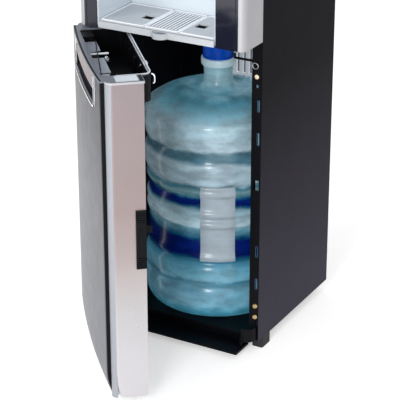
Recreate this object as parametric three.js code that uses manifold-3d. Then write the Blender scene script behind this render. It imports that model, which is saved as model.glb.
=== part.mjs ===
// A bottom load water cooler: a tall cabinet that holds an 18.9 litre bottle behind a front door,
// with a dispensing alcove, a drip tray and two push buttons above it.
// Millimetres, +Z up, +X to the right, -Y to the front. The origin is the centre of the base pan's
// underside, and the plane y = 0 is the front of the cabinet, behind the door and the fascia.
import * as THREE from 'three';
import { mergeVertices } from 'three/addons/utils/BufferGeometryUtils.js';
import Module from 'manifold-3d';

const wasm = await Module();
wasm.setup();

// ---------------------------------------------------------------- driving dimensions
const WIDTH = 320;              // over the side panels
const HEIGHT = 1078;            // base underside to the top
const FOOT_HEIGHT = 10;         // below the base underside
const GAP = 0.3;                // between pieces that rest on each other
const SHEET = 1.2;              // sheet steel panels
const PLASTIC = 2.5;            // moulded walls
const PANEL_BOTTOM = 12;        // lower edge of the side panels
const FRONT_THICKNESS = 66;     // door edge and fascia, front to back
const CORNER_RADIUS = 12;       // rounded silver front corners
const COLUMN_LEFT = 24;         // black strips beside the alcove
const COLUMN_RIGHT = 42;
const TOP_COVER_HEIGHT = 30;

const LIP_REACH = 45;           // sill in front of the cabinet
const LIP_THICKNESS = 4;
const LIP_INSET = 2;            // sill ends, in from the side panels
const LIP_CHAMFER = 9;
const LIP_END = 21;             // sill's right end, cut away for the tray's corner
const LIP_ROOT = 12;            // sill's joint under the pan
const PAN_HEIGHT = 14;
const PAN_INSET = 26;           // sunk part of the base pan, in from the panels
const FOOT_WIDTH = 22;
const FOOT_LENGTH = 32;
const FOOT_SETBACK = 18;        // front feet, behind the cabinet's front
const FOOT_REAR_LENGTH = 20;
const FOOT_REAR_SETBACK = 5;
const FOOT_REAR_INSET = 50;     // rear feet, in from the side panels

const TRAY_WALL_HEIGHT = 40;    // rim of the bottle tray, above the base underside
const TRAY_INSET = 4;           // tray walls, in from the side panels' outer faces
const TRAY_FLOOR_THICKNESS = 3;
const TRAY_RIDGE = 3;           // low ridge the bottle slides over
const TRAY_NOSE = 20;           // rounded corner in front of the right jamb
const TRAY_NOSE_WIDTH = 24;

const JAMB_WIDTH = 18;
const JAMB_THICKNESS = 2;
const JAMB_WEB = 14;
const SCREW_HEAD = 4.6;
const SCREW_SHANK = 1;

const BOTTLE_RADIUS = 134;
const BOTTLE_HEIGHT = 496;      // to the top of the neck
const BOTTLE_WALL = 2;
const BOTTLE_IN_FRONT = 6;      // clear depth in front of the bottle
const BOTTLE_BEHIND = 11;       // and behind it
const BOTTLE_HEADROOM = 62.4;   // from the neck to the deck
const NECK_RADIUS = 26;
const CAP_HEIGHT = 30;
const CAP_WALL = 1.8;
const PROBE_RADIUS = 5;
const HOSE_RADIUS = 5.5;

const DOOR_BOTTOM = 8;
const DOOR_TOP_GAP = 4;         // under the fascia
const DOOR_BACK = 3;            // door's inner face, in front of the cabinet
const DOOR_SIDE_INSET = 1;      // door's sides, in from the side panels
const DOOR_SKIN = 1.5;
const DOOR_WALL = 3;
const DOOR_CAP = 3;             // plate over the door's top
const PANEL_PROUD = 8;          // front panel's side edges, in front of the edge trims
const PANEL_BOW = 6;            // how far the panel's middle stands proud of its side edges
const FOOT_CURVE_HEIGHT = 45;   // lower part of the door that curves back
const FOOT_CURVE_DEPTH = 12;
const DOOR_OPEN = 49;           // degrees, as it stands here
const HINGE_INSET = 10;         // hinge axis, in from the left side
const HINGE_FORWARD = 42;       // hinge axis, in front of the cabinet
const PIN_RADIUS = 3;
const PIN_CLEARANCE = 0.4;
const PIN_LENGTH = 12;
const HINGE_PLATE = 2.4;

const HANDLE_HALF_WIDTH = 111;  // grip recess in the door's front
const HANDLE_HEIGHT = 59;       // below the door's top
const HANDLE_CORNER = 14;
const HANDLE_DEPTH = 24;        // behind the door's foremost point
const HANDLE_TRIM = 3;          // chrome strip round the recess
const SCOOP_WALL = 2;
const GRIP_BOTTOM = 34;         // lower edge of the grip plate, below the door's top
const GRIP_THICKNESS = 3;
const POCKET_HALF_WIDTH = 125;  // open tub in the door's top edge
const POCKET_HEIGHT = 48;
const POCKET_WALL = 2.2;
const POCKET_REACH = 14;        // behind the cabinet's front plane
const POCKET_LEDGE = 12;        // depth of the shelf at the tub's front, over the grip recess
const FRONT_STRIP = 10;         // top cap in front of the tub
const POCKET_CORNER = 14;
const POCKET_RIM = 2.4;

const LATCH_LOW = 248;
const LATCH_HEIGHT = 104;
const LATCH_WIDTH = 17;
const LATCH_PROUD = 3;
const TONGUE_REACH = 9;
const TONGUE_HEIGHT = 13;
const TONGUE_WIDTH = 5;
const TONGUE_INSET = 11;        // in from the side panel

const ALCOVE_DEPTH = 111;       // from the fascia's front face
const CONTROL_HEIGHT = 162;     // control panel over the alcove
const DRIP_WALL = 2;
const DRIP_HEIGHT = 11;
const DRIP_PULL_RADIUS = 18;
const GRILLE_THICKNESS = 2.5;
const GRILLE_HOLE = 20;         // square holes under the spigots
const BUTTON_RADIUS = 17;
const BUTTON_PITCH = 100;
const BUTTON_DROP = 75;         // centre of the push buttons, below the top cover
const BUTTON_PROUD = 4.5;
const BUTTON_TRAVEL = 4;
const BOARD_STANDOFF = 17;
const SPIGOT_RADIUS = 11;
const SPIGOT_PITCH = 104;       // over the two square holes of the grille
const SPIGOT_DROP = 32;
const SPIGOT_SETBACK = 53;      // behind the fascia's front face
const PIPE_RADIUS = 4;
const PIPE_RISE = 24;           // pipe runs, over the alcove

const TANK_DROP = 93;           // tank shelf, below the alcove's top
const TANK_BEHIND = 115.5;      // tanks' axes, in from the rear panel
const COLD_RADIUS = 62;
const COLD_HEIGHT = 150;
const HOT_RADIUS = 50;
const HOT_HEIGHT = 140;
const COMPRESSOR_HEADROOM = 42;
const CONDENSER_RUNS = 9;
const CONDENSER_TUBE = 2.4;
const CONDENSER_STANDOFF = 10;
const SWITCH_WIDTH = 14;
const SWITCH_HEIGHT = 22;
const SWITCH_PITCH = 30;
const VENT_HALF_WIDTH = 84;
const VENT_HEIGHT = 150;

// ---------------------------------------------------------------- derived places
const HALF = WIDTH / 2;
const INNER_HALF = HALF - SHEET - GAP;
const BOTTLE_CENTRE_Y = BOTTLE_IN_FRONT + BOTTLE_RADIUS;
const DEPTH = BOTTLE_CENTRE_Y + BOTTLE_RADIUS + BOTTLE_BEHIND;
const REAR = DEPTH - SHEET - GAP;
const FRONT = -FRONT_THICKNESS;
const TRAY_FLOOR = PAN_HEIGHT + GAP + TRAY_FLOOR_THICKNESS;
const BOTTLE_BASE = TRAY_FLOOR + GAP;
const FASCIA_BOTTOM = BOTTLE_BASE + BOTTLE_HEIGHT + BOTTLE_HEADROOM;
const VENT_TOP = FASCIA_BOTTOM - 33;
const DOOR_HALF = HALF - DOOR_SIDE_INSET;
const DOOR_TOP = FASCIA_BOTTOM - DOOR_TOP_GAP;
const COVER_BOTTOM = HEIGHT - TOP_COVER_HEIGHT;
const ALCOVE_TOP = COVER_BOTTOM - CONTROL_HEIGHT;
const ALCOVE_LEFT = -HALF + CORNER_RADIUS + COLUMN_LEFT;
const ALCOVE_RIGHT = HALF - CORNER_RADIUS - COLUMN_RIGHT;
const ALCOVE_BACK = FRONT + ALCOVE_DEPTH;
const BUTTON_HEIGHT = COVER_BOTTOM - BUTTON_DROP;
const SPIGOT_Y = FRONT + SPIGOT_SETBACK;
const DECK = FASCIA_BOTTOM + 3;                     // top of the plate over the bottle
const HINGE_X = -HALF + HINGE_INSET;
const HINGE_Y = -HINGE_FORWARD;
const TONGUE_X = HALF - TONGUE_INSET;
const TONGUE_LOW = LATCH_LOW + 60;
const TANK_SHELF = ALCOVE_TOP - TANK_DROP;

// ---------------------------------------------------------------- materials
const paint = (color, roughness, metalness = 0) =>
  new THREE.MeshStandardMaterial({ color, roughness, metalness });
const blackSteel = paint(0x1c1c1f, 0.45, 0.3);
const blackPlastic = paint(0x0b0d12, 0.5);
const glossBlack = paint(0x15171f, 0.15);
const silver = paint(0xb9bbc0, 0.35, 0.8);
const stainless = paint(0x9fa2a8, 0.3, 0.9);
const roseSteel = paint(0xab9d98, 0.3, 0.8);
const chrome = paint(0xe8eaee, 0.08, 1);
const greyPlastic = paint(0x5f646e, 0.5);
const whitePlastic = paint(0xd7e2e8, 0.4);
const palePlastic = paint(0xc9ccd1, 0.5);
const brass = paint(0xc7a467, 0.35, 0.9);
const bluePlastic = paint(0x0a3ca8, 0.4);
const bottlePlastic = paint(0x8fbccb, 0.2);
const rubber = paint(0x17181a, 0.9);
const hosePlastic = paint(0xdfe4e6, 0.5);
const copper = paint(0xb87333, 0.35, 0.9);
const zinc = paint(0xa7a9ac, 0.4, 0.8);
const boardGreen = paint(0x1f6b3a, 0.6);
const redPlastic = paint(0xb3262b, 0.4);

// ---------------------------------------------------------------- solids
function solid(geometry) {
  const bare = geometry.index ? geometry.toNonIndexed() : geometry.clone();
  bare.deleteAttribute('normal');
  bare.deleteAttribute('uv');
  const merged = mergeVertices(bare, 1e-4);
  const corners = merged.index.array;
  const faces = [];
  for (let i = 0; i < corners.length; i += 3) {
    const [a, b, c] = corners.slice(i, i + 3);
    if (a !== b && b !== c && c !== a) faces.push(a, b, c);
  }
  return new wasm.Manifold(new wasm.Mesh({
    numProp: 3,
    vertProperties: new Float32Array(merged.attributes.position.array),
    triVerts: new Uint32Array(faces),
  }));
}

function geometryOf(body) {
  const mesh = body.getMesh();
  const geometry = new THREE.BufferGeometry();
  geometry.setAttribute('position', new THREE.BufferAttribute(new Float32Array(mesh.vertProperties), 3));
  geometry.setIndex(new THREE.BufferAttribute(new Uint32Array(mesh.triVerts), 1));
  return geometry;
}

const join = (first, ...rest) => rest.reduce((sum, body) => sum.add(body), first);
const cut = (first, ...rest) => rest.reduce((left, body) => left.subtract(body), first);

function block([x0, x1], [y0, y1], [z0, z1]) {
  const geometry = new THREE.BoxGeometry(x1 - x0, y1 - y0, z1 - z0);
  geometry.translate((x0 + x1) / 2, (y0 + y1) / 2, (z0 + z1) / 2);
  return solid(geometry);
}

// A round bar along 'x', 'y' or 'z' that starts at a point; the radius may change to endRadius.
function bar(axis, [x, y, z], radius, length, sides = 20, endRadius = radius) {
  const geometry = new THREE.CylinderGeometry(endRadius, radius, length, sides);
  geometry.translate(0, length / 2, 0);
  if (axis === 'x') geometry.rotateZ(-Math.PI / 2);
  if (axis === 'z') geometry.rotateX(Math.PI / 2);
  geometry.translate(x, y, z);
  return solid(geometry);
}

function extrude(shape, depth, curveSegments = 8) {
  return new THREE.ExtrudeGeometry(shape, { depth, bevelEnabled: false, curveSegments });
}

// A plan outline (x, y) raised from z0 to z1.
function raise(shape, z0, z1, curveSegments) {
  const geometry = extrude(shape, z1 - z0, curveSegments);
  geometry.translate(0, 0, z0);
  return solid(geometry);
}

// A side outline drawn as (y, z), run from x0 to x1.
function runX(shape, x0, x1, curveSegments) {
  const geometry = extrude(shape, x1 - x0, curveSegments);
  geometry.applyMatrix4(new THREE.Matrix4().set(0, 0, 1, x0, 1, 0, 0, 0, 0, 1, 0, 0, 0, 0, 0, 1));
  return solid(geometry);
}

// A front outline drawn as (x, z), run from y0 to y1.
function runY(shape, y0, y1, curveSegments) {
  const geometry = extrude(shape, y1 - y0, curveSegments);
  geometry.rotateX(Math.PI / 2);
  geometry.translate(0, y1, 0);
  return solid(geometry);
}

function roundedRect(x0, x1, y0, y1, radius) {
  const shape = new THREE.Shape();
  shape.moveTo(x0 + radius, y0);
  shape.lineTo(x1 - radius, y0);
  shape.absarc(x1 - radius, y0 + radius, radius, -Math.PI / 2, 0);
  shape.lineTo(x1, y1 - radius);
  shape.absarc(x1 - radius, y1 - radius, radius, 0, Math.PI / 2);
  shape.lineTo(x0 + radius, y1);
  shape.absarc(x0 + radius, y1 - radius, radius, Math.PI / 2, Math.PI);
  shape.lineTo(x0, y0 + radius);
  shape.absarc(x0 + radius, y0 + radius, radius, Math.PI, 1.5 * Math.PI);
  return shape;
}

// A turned piece about a vertical axis at (x, y); the profile is [radius, z] and closes on itself.
function turn(profile, x, y, sides) {
  const points = profile.map(([r, z]) => new THREE.Vector2(r, z));
  if (THREE.ShapeUtils.area(points) < 0) points.reverse();
  const geometry = new THREE.LatheGeometry(points, sides);
  geometry.rotateX(Math.PI / 2);
  geometry.translate(x, y, 0);
  return solid(geometry);
}

// A pipe route through corner points, each corner rounded to the bend radius.
class Route extends THREE.Curve {
  constructor(corners, bend, bendSteps = 5) {
    super();
    this.points = [corners[0].clone()];
    for (let i = 1; i < corners.length - 1; i += 1) {
      const before = corners[i - 1].clone().sub(corners[i]).normalize();
      const after = corners[i + 1].clone().sub(corners[i]).normalize();
      const half = before.angleTo(after) / 2;
      const centre = before.clone().add(after).normalize().multiplyScalar(bend / Math.sin(half)).add(corners[i]);
      const reach = bend / Math.tan(half);
      const start = before.multiplyScalar(reach).add(corners[i]).sub(centre);
      const end = after.multiplyScalar(reach).add(corners[i]).sub(centre);
      const sweep = start.angleTo(end);
      const axis = new THREE.Vector3().crossVectors(start, end).normalize();
      for (let k = 0; k <= bendSteps; k += 1) {
        this.points.push(start.clone().applyAxisAngle(axis, (sweep * k) / bendSteps).add(centre));
      }
    }
    this.points.push(corners[corners.length - 1].clone());
    this.steps = this.points.length - 1;
  }

  getPoint(t) {
    const place = Math.min(Math.max(t, 0), 1) * this.steps;
    const index = Math.min(Math.floor(place), this.steps - 1);
    return this.points[index].clone().lerp(this.points[index + 1], place - index);
  }

  getPointAt(u) {
    return this.getPoint(u);
  }

  getTangentAt(u) {
    const place = u * this.steps;
    const near = Math.round(place);
    const last = this.points[Math.max(near - 1, 0)];
    const next = this.points[Math.min(near + 1, this.steps)];
    return next.clone().sub(last).normalize();
  }
}

function pipe(corners, radius, bend, sides = 5) {
  const route = new Route(corners.map(([x, y, z]) => new THREE.Vector3(x, y, z)), bend);
  const section = new THREE.Shape();
  section.absarc(0, 0, radius, 0, 2 * Math.PI);
  return solid(new THREE.ExtrudeGeometry(section, {
    extrudePath: route, steps: route.steps, bevelEnabled: false, curveSegments: sides,
  }));
}

// ---------------------------------------------------------------- scene graph
const cooler = new THREE.Group();

function piece(name, body, material, parent = cooler) {
  const mesh = new THREE.Mesh(geometryOf(body), material);
  mesh.name = name;
  parent.add(mesh);
}

// ---------------------------------------------------------------- base
function basePan() {
  const sunk = HALF - PAN_INSET;
  const lipHalf = HALF - LIP_INSET;
  const box = block([-sunk, sunk], [JAMB_THICKNESS + GAP, REAR - PAN_INSET], [0, PAN_HEIGHT]);
  const flange = block([-INNER_HALF, INNER_HALF], [JAMB_THICKNESS + GAP, REAR], [PANEL_BOTTOM, PAN_HEIGHT]);
  const lip = new THREE.Shape();
  lip.moveTo(-lipHalf + LIP_CHAMFER, -LIP_REACH);
  lip.lineTo(HALF - LIP_END, -LIP_REACH);
  lip.lineTo(HALF - LIP_END, JAMB_THICKNESS);
  lip.lineTo(-lipHalf, JAMB_THICKNESS);
  lip.lineTo(-lipHalf, -LIP_REACH + LIP_CHAMFER);
  const sill = join(raise(lip, 0, LIP_THICKNESS),
    block([-sunk, sunk], [0, JAMB_THICKNESS + LIP_ROOT], [0, LIP_THICKNESS]));
  const hollow = block([-sunk + PLASTIC, sunk - PLASTIC],
    [JAMB_THICKNESS + LIP_ROOT, REAR - PAN_INSET - PLASTIC], [LIP_THICKNESS, PAN_HEIGHT + 1]);
  return cut(join(box, flange, sill), hollow);
}

function foot(x, y, length) {
  const outline = roundedRect(x - FOOT_WIDTH / 2, x + FOOT_WIDTH / 2, y - length / 2, y + length / 2, 4);
  return raise(outline, -FOOT_HEIGHT, PANEL_BOTTOM - GAP, 3);
}

function bottleTray() {
  const outer = HALF - TRAY_INSET;
  const front = JAMB_THICKNESS + GAP;
  const noseLeft = outer - TRAY_NOSE_WIDTH;
  const plan = (inset) => {
    const nose = TRAY_NOSE - inset;
    const round = TRAY_NOSE - inset;
    const shape = new THREE.Shape();
    shape.moveTo(-outer + inset, front + inset);
    shape.lineTo(noseLeft + inset, front + inset);
    shape.lineTo(noseLeft + inset, -nose);
    shape.lineTo(outer - inset - round, -nose);
    shape.absarc(outer - inset - round, -nose + round, round, -Math.PI / 2, 0);
    shape.lineTo(outer - inset, REAR - inset);
    shape.lineTo(-outer + inset, REAR - inset);
    return shape;
  };
  const whole = raise(plan(0), PAN_HEIGHT + GAP, TRAY_WALL_HEIGHT);
  const inside = raise(plan(PLASTIC), TRAY_FLOOR, TRAY_WALL_HEIGHT + 1);
  const mouth = block([-outer + PLASTIC, noseLeft + PLASTIC], [front - 1, front + PLASTIC + 1],
    [TRAY_FLOOR + TRAY_RIDGE, TRAY_WALL_HEIGHT + 1]);
  const noseMouth = block([noseLeft - 1, noseLeft + PLASTIC + 0.1], [-TRAY_NOSE - 1, front + PLASTIC],
    [TRAY_FLOOR + TRAY_RIDGE, TRAY_WALL_HEIGHT + 1]);
  const skirt = block([noseLeft, outer - TRAY_NOSE], [-TRAY_NOSE, -TRAY_NOSE + PLASTIC],
    [LIP_THICKNESS + GAP, PAN_HEIGHT + 1]);
  return join(cut(whole, inside, mouth, noseMouth), skirt);
}

// ---------------------------------------------------------------- cabinet shell
function sidePanel(side) {
  const body = block([HALF - SHEET, HALF], [0, DEPTH], [PANEL_BOTTOM, COVER_BOTTOM - GAP]);
  return side > 0 ? body : body.mirror([1, 0, 0]);
}

// Places on the jambs: heights from the base, or below the fascia.
const JAMB_LOW_SLOTS = [[45, 53], [116, 136], [179, 199]];
const JAMB_HIGH_SLOTS = [[186, 164], [125, 105]];
const JAMB_HOLES = [80, 63];
const JAMB_SCREWS = [81.5, 60];
const SLOT_INSET = 4.5;
const SCREW_INSET = 6.5;
const HOLE_INSET = 8.5;
const HANGER_DROP = 43;
const HANGER_INSET = 10;
const HANGER_ARM = 52;
const HANGER_ROD = 2.2;
const HANGER_Z = FASCIA_BOTTOM - HANGER_DROP;
const HANGER_Y = JAMB_WEB + HANGER_ROD + 2.8;

function jamb(side) {
  const outer = INNER_HALF;
  const x0 = outer - JAMB_WIDTH;
  const z = [TRAY_WALL_HEIGHT + GAP, FASCIA_BOTTOM - GAP];
  let body = join(block([x0, outer], [0, JAMB_THICKNESS], z), block([x0, x0 + JAMB_THICKNESS], [0, JAMB_WEB], z));
  const slots = [...JAMB_LOW_SLOTS, ...JAMB_HIGH_SLOTS.map(([low, high]) => [FASCIA_BOTTOM - low, FASCIA_BOTTOM - high])];
  const slotX = outer - SLOT_INSET;
  for (const [low, high] of slots) {
    body = cut(body, runY(roundedRect(slotX - 1.5, slotX + 1.5, low, high, 1.4), -1, JAMB_THICKNESS + 1, 3));
  }
  for (const drop of JAMB_HOLES) {
    body = cut(body, bar('y', [outer - HOLE_INSET, -1, FASCIA_BOTTOM - drop], 3.2, JAMB_THICKNESS + 2, 12));
  }
  body = cut(body, bar('y', [outer - HANGER_INSET, -1, HANGER_Z], HANGER_ROD + 1, JAMB_THICKNESS + 2, 12));
  for (const height of JAMB_SCREWS) {
    body = cut(body, bar('y', [outer - SCREW_INSET, -1, height], SCREW_SHANK + 0.5, JAMB_THICKNESS + 2, 10));
  }
  if (side > 0) {
    body = cut(body, block([TONGUE_X - 3, TONGUE_X + TONGUE_WIDTH + 2], [-1, JAMB_THICKNESS + 1],
      [TONGUE_LOW - 3, TONGUE_LOW + TONGUE_HEIGHT + 3]));
  }
  return side > 0 ? body : body.mirror([1, 0, 0]);
}

function jambScrew(z) {
  const x = INNER_HALF - SCREW_INSET;
  const head = bar('y', [x, -GAP - 1.8, z], SCREW_HEAD - 1, 1.8, 16, SCREW_HEAD);
  const shank = bar('y', [x, -GAP - 0.5, z], SCREW_SHANK, JAMB_THICKNESS + 6, 10);
  const recess = block([x - 0.6, x + 0.6], [-4, -GAP - 0.9], [z - 3, z + 3]);
  return cut(join(head, shank), recess);
}

function rearPanel() {
  let body = block([-INNER_HALF, INNER_HALF], [REAR + GAP, DEPTH], [PAN_HEIGHT + GAP, COVER_BOTTOM - GAP]);
  const holeX = SWITCH_WIDTH / 2 - 0.5;
  const holeZ = SWITCH_HEIGHT / 2 + 1;
  for (let row = 1; row <= 5; row += 1) {
    const slotTop = VENT_TOP - row * 14;
    for (const x of [-48, 0, 48]) {
      body = cut(body, block([x - 20, x + 20], [REAR - 1, DEPTH + 1], [slotTop - 5, slotTop]));
    }
  }
  for (const x of switchPlaces()) {
    body = cut(body, block([x - holeX, x + holeX], [REAR - 1, DEPTH + 1], [SWITCH_Z - holeZ, SWITCH_Z + holeZ]));
  }
  return cut(body, bar('y', [INLET_X, REAR - 1, INLET_Z], INLET_RADIUS + 0.5, 6, 20));
}

function topCover() {
  const plan = (inset, back) => {
    const shape = new THREE.Shape();
    const radius = CORNER_RADIUS - inset;
    shape.moveTo(-HALF + inset + radius, FRONT + inset);
    shape.lineTo(HALF - inset - radius, FRONT + inset);
    shape.absarc(HALF - inset - radius, FRONT + inset + radius, radius, -Math.PI / 2, 0);
    shape.lineTo(HALF - inset, back - inset);
    shape.lineTo(-HALF + inset, back - inset);
    shape.lineTo(-HALF + inset, FRONT + inset + radius);
    shape.absarc(-HALF + inset + radius, FRONT + inset + radius, radius, Math.PI, 1.5 * Math.PI);
    return shape;
  };
  const whole = join(raise(plan(0, DEPTH), COVER_BOTTOM, HEIGHT - 5), raise(plan(4, DEPTH), HEIGHT - 5, HEIGHT));
  return cut(whole, raise(plan(PLASTIC + 3, DEPTH), COVER_BOTTOM - 1, HEIGHT - 5));
}

// ---------------------------------------------------------------- bottle compartment
function deck() {
  const plate = join(block([-INNER_HALF, INNER_HALF], [JAMB_THICKNESS + GAP, REAR], [FASCIA_BOTTOM, DECK]),
    block([ALCOVE_LEFT + GAP, ALCOVE_RIGHT - GAP], [FRONT + 10, JAMB_THICKNESS + 1], [FASCIA_BOTTOM, DECK]));
  return cut(plate, bar('z', [0, BOTTLE_CENTRE_Y, FASCIA_BOTTOM - 1], HOSE_RADIUS + 4, 6, 20));
}

function ventGrille() {
  const y0 = REAR - 7;
  const low = VENT_TOP - VENT_HEIGHT;
  let body = block([-VENT_HALF_WIDTH, VENT_HALF_WIDTH], [y0, REAR], [low, VENT_TOP]);
  const count = 12;
  const pitch = (2 * VENT_HALF_WIDTH - 12) / count;
  for (let i = 0; i < count; i += 1) {
    const x = (i - (count - 1) / 2) * pitch;
    body = cut(body, block([x - 3, x + 3], [y0 - 1, REAR + 1], [low + 12, VENT_TOP - 12]));
  }
  return body;
}

// The hook that the probe hangs on while the bottle is out, bolted through the right jamb.
function probeHanger() {
  const x = INNER_HALF - HANGER_INSET;
  const washer = bar('y', [x, -GAP - 2, HANGER_Z], 6, 2, 16);
  const stud = bar('y', [x, -GAP - 1, HANGER_Z], HANGER_ROD, HANGER_Y + 2, 10);
  const arm = bar('x', [x - HANGER_ARM, HANGER_Y, HANGER_Z], HANGER_ROD, HANGER_ARM + 1, 10);
  const tip = bar('z', [x - HANGER_ARM + 1, HANGER_Y, HANGER_Z], HANGER_ROD, 8, 10);
  return join(washer, stud, arm, tip);
}

// Ridges of the bottle's grip band: height of the middle and half height.
const BOTTLE_RIDGES = [[124, 10], [189, 9], [210, 9], [250, 10]];
const NECK_RING = 14;           // its lower edge, below the cap's

function bottle() {
  const z = BOTTLE_BASE;
  const R = BOTTLE_RADIUS;
  const band = R - 7;
  const w = BOTTLE_WALL;
  const shoulder = BOTTLE_HEIGHT - 123;
  const outer = [[R - 39, 8], [R - 30, 2], [R - 22, 0], [R - 10, 4], [R - 3, 14], [R, 26], [R, 58], [R - 3, 65], [R, 72],
    [R, 102], [band, 112]];
  for (const [middle, reach] of BOTTLE_RIDGES) outer.push([band, middle - reach], [band + 4, middle], [band, middle + reach]);
  outer.push([band, 262], [R, 270], [R, 302], [R - 5, 310], [R - 5, 325], [R, 334], [R, shoulder], [R - 3, shoulder + 7],
    [R - 12, shoulder + 13], [R - 24, shoulder + 21], [R - 49, shoulder + 31], [NECK_RADIUS + 34, shoulder + 38],
    [NECK_RADIUS + 26, shoulder + 34], [NECK_RADIUS + 12, shoulder + 35], [NECK_RADIUS + 5, shoulder + 41],
    [NECK_RADIUS, shoulder + 49]);
  const ring = BOTTLE_HEIGHT - CAP_HEIGHT - NECK_RING;
  outer.push([NECK_RADIUS, ring - 4], [NECK_RADIUS + 3.5, ring], [NECK_RADIUS + 3.5, ring + NECK_RING - 2],
    [NECK_RADIUS - 1.5, ring + NECK_RING - 1], [NECK_RADIUS - 1.5, BOTTLE_HEIGHT]);
  const mouth = NECK_RADIUS - 1.5 - w;
  const inner = [[mouth, BOTTLE_HEIGHT], [mouth, shoulder + 46], [NECK_RADIUS + 2, shoulder + 38],
    [NECK_RADIUS + 12, shoulder + 31], [R - 50, shoulder + 27], [R - 26, shoulder + 17], [R - 14, shoulder + 9],
    [R - 5, shoulder + 3], [band - w, shoulder - 20], [band - w, 112], [R - w - 3, 96], [R - w - 3, 26], [R - 12, 12],
    [R - 22, w + 2], [R - 39, 8 + w], [0, 8 + w]];
  const profile = [[0, 8], ...outer, ...inner].map(([r, h]) => [r, z + h]);
  return turn(profile, 0, BOTTLE_CENTRE_Y, 26);
}

function bottleCap() {
  const top = BOTTLE_BASE + BOTTLE_HEIGHT + GAP;
  const low = top - CAP_HEIGHT;
  const inside = NECK_RADIUS - 1.5 + GAP;
  const profile = [[PROBE_RADIUS + GAP, top], [PROBE_RADIUS + GAP, top + CAP_WALL], [inside, top + CAP_WALL],
    [inside + CAP_WALL, top - 1], [inside + CAP_WALL, low + 4], [inside + CAP_WALL + 1, low], [inside, low], [inside, top]];
  return turn([...profile, profile[0]], 0, BOTTLE_CENTRE_Y, 28);
}

function probe() {
  const capTop = BOTTLE_BASE + BOTTLE_HEIGHT + GAP + CAP_WALL;
  const tip = BOTTLE_BASE + 16;
  const bore = PROBE_RADIUS - 1.5;
  const collar = capTop + GAP;
  const profile = [[bore, tip], [PROBE_RADIUS, tip], [PROBE_RADIUS, collar], [18, collar], [18, collar + 7],
    [8, collar + 13], [8, collar + 20], [bore, collar + 20], [bore, tip]];
  return turn(profile, 0, BOTTLE_CENTRE_Y, 20);
}

function probeHose() {
  const start = BOTTLE_BASE + BOTTLE_HEIGHT + 2 * GAP + CAP_WALL + 20 + GAP;
  return pipe([[0, BOTTLE_CENTRE_Y, start], [0, BOTTLE_CENTRE_Y, PUMP_Z], [PUMP_RIGHT + GAP, BOTTLE_CENTRE_Y, PUMP_Z]],
    HOSE_RADIUS, 22, 6);
}

// ---------------------------------------------------------------- door, drawn closed
const DOOR_LEVELS = [0, 4, 12, 22, 32, FOOT_CURVE_HEIGHT];

// How far the door's front lies back at a height: it curves back towards its foot.
function footCurve(z) {
  const low = Math.max(1 - (z - DOOR_BOTTOM) / FOOT_CURVE_HEIGHT, 0);
  const edge = Math.max(4 - (z - DOOR_BOTTOM), 0);
  return FOOT_CURVE_DEPTH * low * low + edge;
}

// A plan outline (x, y) run up the door from a height; what lies in front of the hinge axis follows the foot curve.
function doorBody(plan, low, curveSegments) {
  const levels = [low, ...DOOR_LEVELS.map((z) => z + DOOR_BOTTOM).filter((z) => z > low + 0.5), DOOR_TOP];
  const geometry = new THREE.ExtrudeGeometry(plan, {
    depth: levels.length - 1, steps: levels.length - 1, bevelEnabled: false, curveSegments,
  });
  const places = geometry.attributes.position;
  for (let i = 0; i < places.count; i += 1) {
    const z = levels[Math.round(places.getZ(i))];
    const y = places.getY(i);
    places.setXYZ(i, places.getX(i), y < HINGE_Y ? y + footCurve(z) : y, z);
  }
  return solid(geometry);
}

// The door's box between the edge trims, drawn in by an inset.
function doorBox(inset) {
  const half = DOOR_HALF - inset;
  const radius = CORNER_RADIUS - inset;
  const back = -DOOR_BACK - inset;
  const edge = FRONT + inset;
  const plan = new THREE.Shape();
  plan.moveTo(-half, back);
  plan.lineTo(-half, edge + radius);
  plan.absarc(-half + radius, edge + radius, radius, Math.PI, 1.5 * Math.PI);
  plan.lineTo(half - radius, edge);
  plan.absarc(half - radius, edge + radius, radius, 1.5 * Math.PI, 2 * Math.PI);
  plan.lineTo(half, back);
  return doorBody(plan, DOOR_BOTTOM + inset, 7);
}

const PANEL_HALF = DOOR_HALF - CORNER_RADIUS - 1;
const PANEL_EDGE = FRONT - PANEL_PROUD;
const DOOR_FRONT = PANEL_EDGE - PANEL_BOW;
const PANEL_ROOT = FRONT + 8;       // back of the raised form, inside the door

// The raised form of the front panel: bowed in plan, moved back by a depth.
function raisedForm(sunk, half = PANEL_HALF, low = DOOR_BOTTOM) {
  const bowRadius = (PANEL_HALF * PANEL_HALF + PANEL_BOW * PANEL_BOW) / (2 * PANEL_BOW);
  const sweep = Math.asin(half / bowRadius);
  const plan = new THREE.Shape();
  plan.moveTo(half, PANEL_ROOT);
  plan.lineTo(-half, PANEL_ROOT);
  plan.absarc(0, DOOR_FRONT + sunk + bowRadius, bowRadius, 1.5 * Math.PI - sweep, 1.5 * Math.PI + sweep);
  return doorBody(plan, low, 14);
}

const CAP_UNDERSIDE = DOOR_TOP - DOOR_CAP;
const HANDLE_BOTTOM = DOOR_TOP - HANDLE_HEIGHT;
const POCKET_FRONT = DOOR_FRONT + FRONT_STRIP;
const POCKET_LEDGE_Z = DOOR_TOP - POCKET_RIM - GAP - POCKET_LEDGE;
const SCOOP_TOP = POCKET_LEDGE_Z - 2;
const SCOOP_BACK = DOOR_FRONT + HANDLE_DEPTH;
const UNDER_CAP = [DOOR_BOTTOM - 1, CAP_UNDERSIDE - GAP];
const ACROSS = [-HALF, HALF];
const THROUGH = [DOOR_FRONT - 5, FRONT + 30];

// The grip recess seen from the front; it runs up under the top cap.
const handleOutline = (inset) => roundedRect(-HANDLE_HALF_WIDTH + inset, HANDLE_HALF_WIDTH - inset,
  HANDLE_BOTTOM + inset, DOOR_TOP + 2 * HANDLE_CORNER, HANDLE_CORNER - inset);
const handleHole = (inset) => runY(handleOutline(inset), ...THROUGH, 5);

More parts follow.
